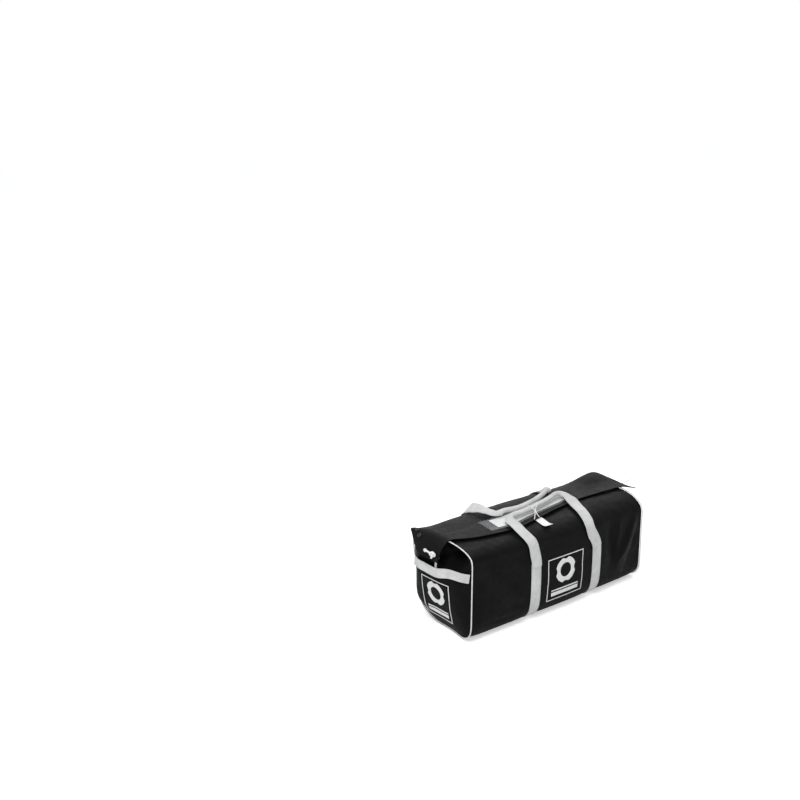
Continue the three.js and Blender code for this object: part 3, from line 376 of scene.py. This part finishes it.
# Creases of a panel: from and to in X and Z, half width, depth; a minus depth is a roll
FRONT_CREASES = [
    ((-0.352, 0.262), (-0.262, 0.196), 0.009, 0.0030),
    ((-0.345, 0.226), (-0.190, 0.118), 0.013, 0.0075),
    ((-0.330, 0.246), (-0.230, 0.205), 0.007, -0.0022),
    ((-0.300, 0.190), (-0.172, 0.088), 0.015, -0.0062),
    ((-0.262, 0.262), (-0.178, 0.222), 0.010, 0.0055),
    ((-0.090, 0.262), (-0.010, 0.232), 0.009, 0.0020),
    ((0.020, 0.250), (0.110, 0.214), 0.010, -0.0018),
    ((0.216, 0.246), (0.238, 0.110), 0.012, 0.0050),
    ((0.268, 0.236), (0.252, 0.128), 0.009, -0.0026),
    ((0.352, 0.236), (0.262, 0.092), 0.016, -0.0080),
    ((0.368, 0.196), (0.306, 0.070), 0.014, 0.0050),
    ((0.204, 0.060), (0.350, 0.036), 0.012, 0.0022),
    ((-0.330, 0.052), (-0.180, 0.040), 0.012, 0.0020),
    ((-0.060, 0.036), (0.100, 0.040), 0.010, 0.0014),
]
BACK_CREASES = [
    ((-0.330, 0.240), (-0.180, 0.090), 0.010, 0.0036),
    ((-0.300, 0.120), (-0.200, 0.050), 0.010, -0.0026),
    ((-0.040, 0.240), (0.010, 0.100), 0.010, 0.0030),
    ((0.060, 0.200), (0.110, 0.060), 0.010, -0.0028),
    ((0.220, 0.250), (0.330, 0.090), 0.010, 0.0040),
    ((0.300, 0.220), (0.350, 0.130), 0.008, -0.0026),
]


def crease_depth(creases, u, v):
    """How deep the creases together are at X = u and Z = v."""
    depth = 0.0
    for (u0, v0), (u1, v1), width, deep in creases:
        run = (u1 - u0) ** 2 + (v1 - v0) ** 2
        t = min(1.0, max(0.0, ((u - u0) * (u1 - u0) + (v - v0) * (v1 - v0)) / run))
        away = math.hypot(u - u0 - t * (u1 - u0), v - v0 - t * (v1 - v0)) / width
        depth += deep * math.exp(-away * away) * (0.25 + 0.75 * math.sin(math.pi * t))
    return depth


def ease(value, low, high):
    """0 below low, 1 above high and smooth between them."""
    t = min(1.0, max(0.0, (value - low) / (high - low)))
    return t * t * (3 - 2 * t)


def calm(x):
    """0 under the belly straps and at the seams, 1 on the free cloth between them."""
    seam = ease(SEAM_HALF - abs(x), 0.002, 0.04)
    left = ease(abs(x - STRAP_MIDDLES["left"]), 0.026, 0.055)
    right = ease(abs(x - STRAP_MIDDLES["right"]), 0.022, 0.050)
    return seam * min(left, right)


def seam_edge(edge):
    """True on the ring where a side panel meets an end panel."""
    low, high = SEAM_ZONE
    inside = all(low <= abs(v.co.x) <= high for v in edge.verts)
    return inside and edge.calc_face_angle(0.0) > SEAM_ANGLE


bag_mesh = quads_of("packed_body")
crease_edges(bag_mesh, seam_edge)
bag = add_piece("bag_shell", bag_mesh, shell_cloth, levels=BAG_LEVELS)
bake(bag)


def crumple(x, y, z):
    """How far the cloth moves out at a point, in metres."""
    off_floor = ease(z, 0.012, 0.05)
    if abs(x) > SEAM_HALF:  # an end panel
        free = ease(abs(x) - SEAM_HALF, 0.004, 0.014) * off_floor
        push = 0.0016 * grid_noise((y, z, 0), 16, 3.1) + 0.0008 * grid_noise((y, z, 0), 42, 1.7)
    else:
        free = calm(x) * off_floor
        on_side = ease(abs(y), 0.11, 0.145)
        push = -crease_depth(FRONT_CREASES if y < 0 else BACK_CREASES, x, z) * on_side
        push += 0.0026 * grid_noise((x * 0.7, y, z * 1.6), 11, 5.3)
        push += 0.0007 * grid_noise((x, y, z), 48, 2.9)
    return push * free


# The normals are read first, because each move would have them worked out again
bag_normals = [v.normal.copy() for v in bag.data.vertices]
for vertex, normal in zip(bag.data.vertices, bag_normals):
    vertex.co += normal * crumple(*vertex.co)
bag.data.update()
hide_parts("packed_body")


# End piping
# White cord piping sewn into both end seams, all the way round the end panels.

piping_finish, piping_tree, piping_shader = new_finish("piping_white", (0.72, 0.72, 0.70))
piping_shader.inputs["Roughness"].default_value = 0.55
piping_place = object_place(piping_tree)
piping_soil = noise_node(piping_tree, piping_place, 60.0, 4.0, 0.6)
piping_colour = mix_colour(piping_tree, range_node(piping_tree, piping_soil, 0.3, 0.75, 0, 1),
                           (0.76, 0.76, 0.74), (0.56, 0.56, 0.545))
piping_tree.links.new(piping_colour, piping_shader.inputs["Base Color"])
add_bump(piping_tree, piping_shader, noise_node(piping_tree, piping_place, 700.0, 2.0), 0.0004)

for side in ("left", "right"):
    piping = add_piece("piping_cord_" + side, quads_of("piping_" + side), piping_finish, levels=2)
    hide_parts("piping_" + side)


# Top flap
# The lid: one sheet of the same cloth sewn along the back shoulder, hemmed on its free
# edges. It lies on the imported raft and hangs over the left end, where its corner cups.

# Paler colours than the shell's: a painted lighter top, where the light from above falls on the lid.
flap_cloth_painted_lighter = cloth_finish("flap_cloth_painted_lighter", (0.0034, 0.0034, 0.0037), (0.0070, 0.0070, 0.0075), 0.5)

flap_mesh = quads_of("top_flap")
crease_edges(flap_mesh, hard_edge, 0.8)
flap = add_piece("top_flap_cloth", flap_mesh, flap_cloth_painted_lighter, levels=BAG_LEVELS)
bake(flap)
for vertex in flap.data.vertices:
    x, y, z = vertex.co
    drape = 0.0012 * grid_noise((x * 0.8, y, 0), 17, 7.7) + 0.0006 * grid_noise((x, y, 0), 52, 4.1)
    vertex.co.z += drape * ease(SEAM_HALF - abs(x), -0.03, 0.05)
flap.data.update()
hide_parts("top_flap")


# Belly straps
# Two bands of 40 mm grey polyester webbing that run under the bag and up both panels,
# sewn down along their edges. The webbing's weave and stitches follow a UV map in metres.

WIDE_WEBBING = 0.040
WEBBING_THICK = 0.0024
RIB_PITCH = 0.0016
YARN_PITCH = 0.0025
STITCH_PITCH = 0.0035
STITCH_SHARE = 0.72
STITCH_HALF = 0.0005


def webbing_group_tree():
    """Webbing over UV in metres: u across the band from its middle, v along it."""
    tree, into, out = group_with(
        "webbing_weave",
        [("Pale", "NodeSocketColor", (0.6, 0.6, 0.6, 1)), ("Soiled", "NodeSocketColor", (0.4, 0.4, 0.4, 1)),
         ("Half Width", "NodeSocketFloat", 0.02), ("Stitch Inset", "NodeSocketFloat", 0.003)],
        FINISH_OUTPUTS)
    uv = tree.nodes.new("ShaderNodeUVMap")
    uv.uv_map = "band"
    split = tree.nodes.new("ShaderNodeSeparateXYZ")
    tree.links.new(uv.outputs["UV"], split.inputs[0])
    across, along = split.outputs[0], split.outputs[1]
    # ribs across the band, with yarns slanting in a herringbone
    slant = math_node(tree, "ADD", along, math_node(tree, "PINGPONG", across, YARN_PITCH))
    rib = math_node(tree, "SINE", math_node(tree, "MULTIPLY", slant, 2 * math.pi / RIB_PITCH))
    yarn = math_node(tree, "SINE", math_node(tree, "MULTIPLY", across, 2 * math.pi / YARN_PITCH))
    weave = math_node(tree, "ADD", math_node(tree, "MULTIPLY", rib, 0.5),
                      math_node(tree, "MULTIPLY", yarn, 0.5))
    # the row of stitches near each edge
    inset = math_node(tree, "SUBTRACT", into.outputs["Half Width"], math_node(tree, "ABSOLUTE", across))
    line = math_node(tree, "ABSOLUTE", math_node(tree, "SUBTRACT", inset, into.outputs["Stitch Inset"]))
    near = math_node(tree, "LESS_THAN", line, STITCH_HALF)
    step = math_node(tree, "FRACT", math_node(tree, "DIVIDE", along, STITCH_PITCH))
    stitch = math_node(tree, "MULTIPLY", near, math_node(tree, "LESS_THAN", step, STITCH_SHARE))
    soil = noise_node(tree, object_place(tree), 26.0, 5.0, 0.62)
    soiled = range_node(tree, soil, 0.32, 0.72, 0, 1)
    colour = mix_colour(tree, soiled, into.outputs["Pale"], into.outputs["Soiled"])
    shade = range_node(tree, weave, -1, 1, 0.80, 1.06)
    shaded = tree.nodes.new("ShaderNodeVectorMath")
    shaded.operation = "SCALE"
    tree.links.new(colour, shaded.inputs[0])
    tree.links.new(shade, shaded.inputs["Scale"])
    tree.links.new(shaded.outputs[0], out.inputs["Color"])
    height = math_node(tree, "SUBTRACT", math_node(tree, "MULTIPLY", weave, 0.5),
                       math_node(tree, "MULTIPLY", stitch, 1.2))
    tree.links.new(height, out.inputs["Height"])
    tree.links.new(range_node(tree, soil, 0.3, 0.8, 0.72, 0.9), out.inputs["Roughness"])
    return tree


webbing_group = webbing_group_tree()


def webbing_finish(name, width, stitch_inset, pale=(0.76, 0.76, 0.75), soiled=(0.58, 0.58, 0.565)):
    """Grey webbing of a width, with its rows of stitches that far from its edges."""
    finish, tree, shader = new_finish(name, pale)
    weave = place_group(tree, webbing_group, Pale=(*pale, 1), Soiled=(*soiled, 1),
                        Half_Width=width / 2, Stitch_Inset=stitch_inset)
    tree.links.new(weave.outputs["Color"], shader.inputs["Base Color"])
    tree.links.new(weave.outputs["Roughness"], shader.inputs["Roughness"])
    shader.inputs["Sheen Weight"].default_value = 0.15
    shader.inputs["Specular IOR Level"].default_value = 0.3
    add_bump(tree, shader, weave.outputs["Height"], 0.0005)
    return finish


SAMPLES_PER_STOP = 24


def spine(stops, steps):
    """Even steps along a smooth line through stops of (x, y, z, nx, ny, nz, roll) in mm.

    Gives (point, face, across, roll) at each step, in metres, and the whole length.
    """
    points = [Vector(s[:3]) / 1000 for s in stops]
    samples = []
    count = len(points)
    for i in range(count - 1):
        p1, p2 = points[i], points[i + 1]
        p0 = points[i - 1] if i else p1 + (p1 - p2)
        p3 = points[i + 2] if i + 2 < count else p2 + (p2 - p1)
        knots = [0.0]
        for a, b in ((p0, p1), (p1, p2), (p2, p3)):
            knots.append(knots[-1] + max((b - a).length ** 0.5, 1e-6))
        for k in range(SAMPLES_PER_STOP):
            share = k / SAMPLES_PER_STOP
            t = knots[1] + share * (knots[2] - knots[1])
            a1 = p0.lerp(p1, (t - knots[0]) / (knots[1] - knots[0]))
            a2 = p1.lerp(p2, (t - knots[1]) / (knots[2] - knots[1]))
            a3 = p2.lerp(p3, (t - knots[2]) / (knots[3] - knots[2]))
            b1 = a1.lerp(a2, (t - knots[0]) / (knots[2] - knots[0]))
            b2 = a2.lerp(a3, (t - knots[1]) / (knots[3] - knots[1]))
            samples.append((b1.lerp(b2, (t - knots[1]) / (knots[2] - knots[1])), i + share))
    samples.append((points[-1], float(count - 1)))
    reach = [0.0]
    for (a, _), (b, _) in zip(samples, samples[1:]):
        reach.append(reach[-1] + (b - a).length)
    result = []
    k = 0
    for i in range(steps + 1):
        want = reach[-1] * i / steps
        while k < len(samples) - 2 and reach[k + 1] < want:
            k += 1
        share = (want - reach[k]) / max(reach[k + 1] - reach[k], 1e-9)
        point = samples[k][0].lerp(samples[k + 1][0], share)
        place = samples[k][1] + share * (samples[k + 1][1] - samples[k][1])
        low = min(int(place), count - 2)
        part = place - low
        tangent = (samples[k + 1][0] - samples[k][0]).normalized()
        face = Vector(stops[low][3:6]).lerp(Vector(stops[low + 1][3:6]), part)
        face = (face - tangent * face.dot(tangent)).normalized()
        soft = part * part * (3 - 2 * part)
        roll = stops[low][6] + (stops[low + 1][6] - stops[low][6]) * soft
        result.append((point, face, tangent.cross(face), roll))
    return result, reach[-1]


ROLL_CLOSURE = 0.92  # share of a full turn that a rolled grip wraps
LEAST_BEND = 0.05  # per metre; under this the band is flat across


def make_band(name, finish, stops, steps, width, thick, cells=8):
    """A band of webbing drawn out step by step along its line, given UVs and its thickness."""
    rings, length = spine(stops, steps)
    mesh = bmesh.new()
    uv = mesh.loops.layers.uv.new("band")
    where = {}
    row = []
    for i, (point, face, across, roll) in enumerate(rings):
        bend = roll * 2 * math.pi * ROLL_CLOSURE / width
        places = []
        for k in range(cells + 1):
            s = width * (k / cells - 0.5)
            if bend > LEAST_BEND:
                off, down = math.sin(bend * s) / bend, (math.cos(bend * s) - 1) / bend
            else:
                off, down = s, 0.0
            places.append((point + across * off + face * down, s))
        if i == 0:
            row = [mesh.verts.new(p) for p, _ in places]
            for a, b in zip(row, row[1:]):
                mesh.edges.new((a, b))
        else:
            edges = [mesh.edges.get((a, b)) for a, b in zip(row, row[1:])]
            drawn = bmesh.ops.extrude_edge_only(mesh, edges=edges)["geom"]
            fresh = {v for v in drawn if isinstance(v, bmesh.types.BMVert)}
            row = [next(e.other_vert(v) for e in v.link_edges if e.other_vert(v) in fresh) for v in row]
        for vertex, (p, s) in zip(row, places):
            vertex.co = p
            where[vertex] = (s, length * i / steps)
    for loop_face in mesh.faces:
        for loop in loop_face.loops:
            loop[uv].uv = where[loop.vert]
    bmesh.ops.recalc_face_normals(mesh, faces=mesh.faces)
    mesh.faces.ensure_lookup_table()
    mesh.normal_update()
    if mesh.faces[0].normal.dot(rings[0][1]) < 0:
        bmesh.ops.reverse_faces(mesh, faces=mesh.faces)
    band = add_piece(name, mesh, finish)
    shell = band.modifiers.new("thickness", "SOLIDIFY")
    shell.thickness = thick
    shell.offset = 0.0
    edge = band.modifiers.new("soft_edge", "BEVEL")
    edge.width = thick * 0.3
    edge.segments = 2
    edge.limit_method = "ANGLE"
    edge.angle_limit = math.radians(50)
    return band


def lay_uv(piece, place):
    """Gives a piece the band UV map from a function of its vertices' places."""
    layer = piece.data.uv_layers.new(name="band")
    for loop in piece.data.loops:
        layer.data[loop.index].uv = place(piece.data.vertices[loop.vertex_index].co)


wide_webbing = webbing_finish("webbing_wide", WIDE_WEBBING, 0.003)

for side, middle in STRAP_MIDDLES.items():
    strap_mesh = quads_of("belly_strap_" + side)
    crease_edges(strap_mesh, hard_edge, 0.85)
    strap = add_piece("belly_band_" + side, strap_mesh, wide_webbing, levels=3)
    bake(strap)
    lay_uv(strap, lambda co: (co.x - middle, co.y + math.copysign(co.z, co.y)))
    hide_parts("belly_strap_" + side)


# Carrying handles
# Each is one length of the same webbing, sewn over the ends of both belly straps on its
# side. Its middle is rolled round a tube and whipped closed, and both grips lie together.

# Stops in mm: X, Y, Z, the way the band faces, and how far it is rolled, from 0 to 1
FRONT_HANDLE_STOPS = [
    (-121, -161.1, 186.7, -0.01, -1, 0.04, 0), (-122, -160.4, 204.7, -0.01, -1, 0.04, 0),
    (-129, -159.7, 232.9, -0.01, -1, 0.02, 0), (-138, -155.3, 271.4, 0.01, -0.83, 0.56, 0),
    (-142.9, -140.8, 286.1, 0.01, -0.51, 0.86, 0), (-147.9, -115.2, 300.6, 0.01, -0.28, 0.96, 0),
    (-148.9, -88.5, 313.1, 0.01, -0.15, 0.99, 0), (-146.8, -65.4, 322, 0.01, -0.06, 1, 0.2),
    (-137, -47, 326, -0.2, 0, 0.98, 0.6), (-120, -42, 330, 0, 0, 1, 1), (-90, -43, 331, 0, 0, 1, 1),
    (-42, -38, 331, 0, 0, 1, 1), (16, -26, 331, 0, 0, 1, 1), (82, -6, 330, 0, 0, 1, 1),
    (120, 6, 330, 0, 0, 1, 1), (141, 4, 327, 0.2, 0, 0.98, 0.6), (149, -14, 323, 0.19, -0.19, 0.96, 0.25),
    (143.1, -42, 312.1, 0.01, 0, 1, 0), (133.1, -73.1, 305.5, 0.01, -0.12, 0.99, 0),
    (127.1, -104.3, 297.5, 0.02, -0.27, 0.96, 0), (121.2, -132.3, 285, 0.03, -0.48, 0.88, 0),
    (117.2, -149.9, 270.5, 0.04, -0.75, 0.67, 0), (125.2, -157.5, 237.7, 0.04, -1, 0.02, 0),
    (137.2, -157.6, 219.1, 0.04, -1, 0.03, 0), (147.2, -157.4, 200.7, 0.04, -1, 0.04, 0),
    (152.2, -157.8, 182.7, 0.04, -1, 0.04, 0),
]
BACK_HANDLE_STOPS = [
    (-121.2, 154.1, 186.7, -0.05, 1, 0.04, 0), (-124.2, 153.3, 204.7, -0.05, 1, 0.04, 0),
    (-134.4, 153.7, 232.7, -0.06, 1, 0.02, 0), (-143, 159, 260, 0, 0.98, 0.2, 0),
    (-149, 149, 284, -0.3, 0.81, 0.51, 0), (-152, 126, 302, -0.6, 0.4, 0.7, 0),
    (-151, 97, 310, -0.53, 0, 0.85, 0), (-149, 68, 313, -0.1, 0, 1, 0), (-148, 38, 316, 0, 0, 1, 0),
    (-140, 10, 324, 0, 0, 1, 0.35), (-118, 2, 330, 0, 0, 1, 1), (-66, -8, 331, 0, 0, 1, 1),
    (4, 3, 331, 0, 0, 1, 1), (66, 24, 330, 0, 0, 1, 1), (108, 44, 330, 0, 0, 1, 1),
    (133, 64, 326, 0, 0, 1, 0.45), (145.1, 90.5, 303.5, 0.01, 0.21, 0.98, 0),
    (150.1, 117.9, 291.8, 0.01, 0.39, 0.92, 0), (153.1, 146.7, 270.4, 0.02, 0.75, 0.66, 0),
    (154, 153.4, 238.7, 0.01, 1, 0.02, 0), (154, 154.2, 204.7, 0.01, 1, 0.04, 0),
    (154, 154.8, 186.7, 0.01, 1, 0.04, 0),
]

for side, stops in (("front", FRONT_HANDLE_STOPS), ("back", BACK_HANDLE_STOPS)):
    handle = make_band("carry_handle_" + side, wide_webbing, stops, 150, WIDE_WEBBING, WEBBING_THICK, cells=14)
    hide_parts("handle_" + side)

tube_finish, tube_tree, tube_shader = new_finish("grip_rubber", (0.03, 0.03, 0.03))
tube_shader.inputs["Roughness"].default_value = 0.6
add_bump(tube_tree, tube_shader, noise_node(tube_tree, object_place(tube_tree), 300.0, 2.0), 0.0005)


def dress(node, finish):
    """Gives a CAD node, kept as it is, its finish."""
    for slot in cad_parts[node].material_slots:
        slot.link = "OBJECT"
        slot.material = finish


for node in ("grip_tube_front", "grip_tube_back"):
    dress(node, tube_finish)


# End handles and the end tape
# Narrower webbing across each end panel, sewn in at the seams and slack in the middle; a
# tape on the left panel runs up under the flap.

NARROW_WEBBING = 0.030
TAPE_WIDTH = 0.010
TAPE_THICK = 0.0012

END_HANDLE_STOPS = {
    "left": [
        (-385.2, -143.8, 216, -0.89, -0.46, 0, 0), (-402, -126, 219, -1, 0, 0, 0), (-418, -88, 222, -1, 0, 0, 0),
        (-431, -46, 214, -1, 0, 0, 0), (-431, -16, 212, -1, 0, 0, 0), (-429, 18, 211, -1, 0, 0, 0),
        (-426, 48, 209, -1, 0, 0, 0), (-414.1, 84, 207.2, -1, 0.02, 0.09, 0),
    ],
    "right": [
        (387.8, -130.9, 203, 0.87, -0.49, 0, 0), (407, -108, 205, 1, 0, 0, 0), (422, -66, 205, 1, 0, 0, 0),
        (430, -20, 204, 1, 0, 0, 0), (428, 30, 202, 1, 0, 0, 0), (418, 72, 201, 1, 0, 0, 0),
        (405, 106, 200, 1, 0, 0, 0), (387.3, 132.8, 199, 0.9, 0.43, 0, 0),
    ],
}
narrow_webbing = webbing_finish("webbing_narrow", NARROW_WEBBING, 0.0025)
for side, stops in END_HANDLE_STOPS.items():
    handle = make_band("end_band_" + side, narrow_webbing, stops, 60, NARROW_WEBBING, WEBBING_THICK)
    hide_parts("end_handle_" + side)

END_TAPE_STOPS = [
    (-414.4, -33, 198, -1, 0, 0, 0), (-413.1, -33, 206, -1, 0, 0, 0), (-424, -33, 215, -1, 0, 0, 0),
    (-425, -33, 228, -1, 0, 0, 0), (-423, -33, 244, -1, 0, 0, 0), (-416, -33, 256, -1, 0, 0, 0),
]
tape_finish = webbing_finish("tape_narrow", TAPE_WIDTH, 0.0012, (0.80, 0.80, 0.78), (0.64, 0.64, 0.62))
tape = make_band("end_pull_tape", tape_finish, END_TAPE_STOPS, 30, TAPE_WIDTH, TAPE_THICK, cells=4)
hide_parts("end_tape_left")


# Printed figures
# Matt light grey ink on the front panel and the left end panel: a framed lifebuoy over
# two plain bars. The ink is laid on the finished cloth and is worn thin in places.

ink_finish, ink_tree, ink_shader = new_finish("print_ink", (0.62, 0.62, 0.61))
ink_place = object_place(ink_tree)
ink_wear = range_node(ink_tree, noise_node(ink_tree, ink_place, 120.0, 6.0, 0.7), 0.56, 0.74, 0, 1)
ink_colour = mix_colour(ink_tree, ink_wear, (0.74, 0.74, 0.73), (0.42, 0.42, 0.42))
ink_tree.links.new(ink_colour, ink_shader.inputs["Base Color"])
ink_shader.inputs["Roughness"].default_value = 0.65
add_bump(ink_tree, ink_shader, noise_node(ink_tree, ink_place, 900.0, 2.0), 0.0003)

bag_points = [v.co.copy() for v in bag.data.vertices]
bag_tree = BVHTree.FromPolygons(bag_points, [tuple(p.vertices) for p in bag.data.polygons])
INK_LOW = 0.0003  # the ink's under side above the cloth
INK_HIGH = 0.0007

for side in ("front", "end"):
    for figure in ("frame", "buoy", "bar_wide", "bar_thin"):
        node = "print_" + figure + "_" + side
        ink_mesh = quads_of(node)
        bmesh.ops.subdivide_edges(ink_mesh, edges=ink_mesh.edges, cuts=3, use_grid_fill=True)
        ink_mesh.normal_update()
        for vertex in ink_mesh.verts:
            ground, normal, _, _ = bag_tree.find_nearest(vertex.co)
            vertex.co = ground + normal * (INK_HIGH if vertex.normal.dot(normal) > 0 else INK_LOW)
        ink = add_piece("ink_" + figure + "_" + side, ink_mesh, ink_finish)
        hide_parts(node)


# Document sleeve
# A sleeve of clear film welded to the flap all round, with a white card in it. The tag
# under the flap's hem is of the same white stuff as the card.

film_finish, film_tree, film_shader = new_finish("clear_film", (0.55, 0.56, 0.57))
film_shader.inputs["Roughness"].default_value = 0.22
film_shader.inputs["Alpha"].default_value = 0.11
film_shader.inputs["Specular IOR Level"].default_value = 0.6
add_bump(film_tree, film_shader, noise_node(film_tree, object_place(film_tree), 34.0, 3.0, 0.5), 0.004)
film_mesh = quads_of("document_sleeve")
crease_edges(film_mesh, hard_edge, 0.9)
film = add_piece("sleeve_film", film_mesh, film_finish, levels=2)
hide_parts("document_sleeve")

card_finish, card_tree, card_shader = new_finish("white_card", (0.8, 0.8, 0.79))
card_shader.inputs["Roughness"].default_value = 0.7
card_place = object_place(card_tree)
card_tone = range_node(card_tree, noise_node(card_tree, card_place, 18.0, 4.0, 0.5), 0.3, 0.7, 0, 1)
card_tree.links.new(mix_colour(card_tree, card_tone, (0.84, 0.84, 0.83), (0.74, 0.74, 0.73)),
                    card_shader.inputs["Base Color"])
add_bump(card_tree, card_shader, noise_node(card_tree, card_place, 400.0, 2.0), 0.0002)
for name, node in (("sleeve_card", "document_card"), ("flap_pull_tag", "pull_tag")):
    leaf_mesh = quads_of(node)
    crease_edges(leaf_mesh, hard_edge, 0.9)
    leaf = add_piece(name, leaf_mesh, card_finish, levels=2)
    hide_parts(node)


# Closing tape
# Black hook and loop strips under the flap's front hem, out of sight while it is shut.

hook_finish, hook_tree, hook_shader = new_finish("hook_and_loop", (0.01, 0.01, 0.01))
hook_shader.inputs["Roughness"].default_value = 0.95
add_bump(hook_tree, hook_shader, noise_node(hook_tree, object_place(hook_tree), 1500.0, 2.0), 0.001)
for node in ("closure_loop_strip", "closure_hook_strip"):
    dress(node, hook_finish)


# Cords and knots
# White braided cord: the tie round the two grips, the painter line's stopper knot at the
# left end and a cord end that comes out under the flap at the right end.

cord_finish, cord_tree, cord_shader = new_finish("white_cord", (0.74, 0.74, 0.72))
cord_shader.inputs["Roughness"].default_value = 0.8
cord_place = object_place(cord_tree)
cord_soil = range_node(cord_tree, noise_node(cord_tree, cord_place, 90.0, 4.0, 0.6), 0.3, 0.7, 0, 1)
cord_tree.links.new(mix_colour(cord_tree, cord_soil, (0.86, 0.86, 0.84), (0.68, 0.68, 0.66)),
                    cord_shader.inputs["Base Color"])
cord_braid = cord_tree.nodes.new("ShaderNodeTexVoronoi")
cord_braid.inputs["Scale"].default_value = 900.0
cord_tree.links.new(cord_place, cord_braid.inputs["Vector"])
add_bump(cord_tree, cord_shader, cord_braid.outputs["Distance"], 0.0006)


def make_cord(name, lines, radius):
    """A round cord along each line of points in metres, as one curve."""
    data = bpy.data.curves.new(name, "CURVE")
    data.dimensions = "3D"
    data.bevel_depth = radius
    data.bevel_resolution = 3
    data.use_fill_caps = True
    for points in lines:
        line = data.splines.new("POLY")
        line.points.add(len(points) - 1)
        for target, point in zip(line.points, points):
            target.co = (*point, 1)
        line.use_smooth = True
    data.materials.append(cord_finish)
    piece = bpy.data.objects.new(name, data)
    scene.collection.objects.link(piece)
    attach(piece, "root")
    return piece


def flowing(points, steps):
    """Even points in metres along a smooth line through points in millimetres."""
    return [p for p, _, _, _ in spine([(*p, 0, 0, 1, 0) for p in points], steps)[0]]


def knot_line(centre, size, turn, steps=60):
    """A drawn-up overhand knot as a closed loop round its centre."""
    points = []
    for k in range(steps + 1):
        t = 2 * math.pi * k / steps
        x, y = math.sin(t) + 2 * math.sin(2 * t), math.cos(t) - 2 * math.cos(2 * t)
        points.append(Vector(centre) + turn @ (Vector((x, y, -1.1 * math.sin(3 * t))) * size))
    return points


def as_mesh(piece):
    """Turns a curve piece into a mesh piece of the same name."""
    data = finished_mesh(piece)
    name = piece.name
    bpy.data.objects.remove(piece)
    solid = bpy.data.objects.new(name, data)
    scene.collection.objects.link(solid)
    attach(solid, "root")
    return solid


TIE_RADIUS = 0.0014
TIE_KNOT_PLACE = (-0.040, -0.062, 0.325)
TIE_ENDS = [
    [(-76, -96, 316), (-58, -80, 320), (-40, -62, 325), (-20, -48, 332.4), (6, -36, 334.2)],
    [(-50, -92, 315), (-46, -78, 319), (-40, -62, 325), (-44, -50, 332.4), (-46, -32, 334.8)],
]
tie_lines = [flowing(points, 30) for points in TIE_ENDS]
tie_lines.append(knot_line(TIE_KNOT_PLACE, 0.0011, Matrix.Rotation(0.6, 3, "X")))
tie = as_mesh(make_cord("grip_tie", tie_lines, TIE_RADIUS))
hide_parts("handle_tie")

PAINTER_RADIUS = 0.0034
KNOT_PLACE = (-0.4379, -0.0321, 0.2706)
KNOB_PLACE = (-0.4334, 0.0077, 0.2708)
knot_turn = Vector((-0.93, 0.0, 0.37)).to_track_quat("Z", "Y").to_matrix()
knot_lines = [
    knot_line(KNOT_PLACE, 0.0030, knot_turn),
    knot_line(KNOB_PLACE, 0.0010, knot_turn),
    flowing([(-436, -22, 270.6), (-434.5, -8, 271), (-433.4, 7, 270.8)], 12),
]
knot = as_mesh(make_cord("painter_stopper_knot", knot_lines, PAINTER_RADIUS))
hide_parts("painter_knot")

TAIL_DIAMETER = 0.0026
CORD_TAIL = [
    (388.2, -6, 281), (404, -6, 283), (418, -9, 290), (430, -18, 300), (436, -30, 309), (438, -44, 316),
]
tail_points = flowing(CORD_TAIL, 28)
tail = make_cord("right_cord_tail", [tail_points], TAIL_DIAMETER / 2)
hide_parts("cord_tail_right")


# Eyelets
# Two black eyelets in the cupped back corner of the flap.

for node in ("eyelet_low", "eyelet_high"):
    dress(node, tube_finish)
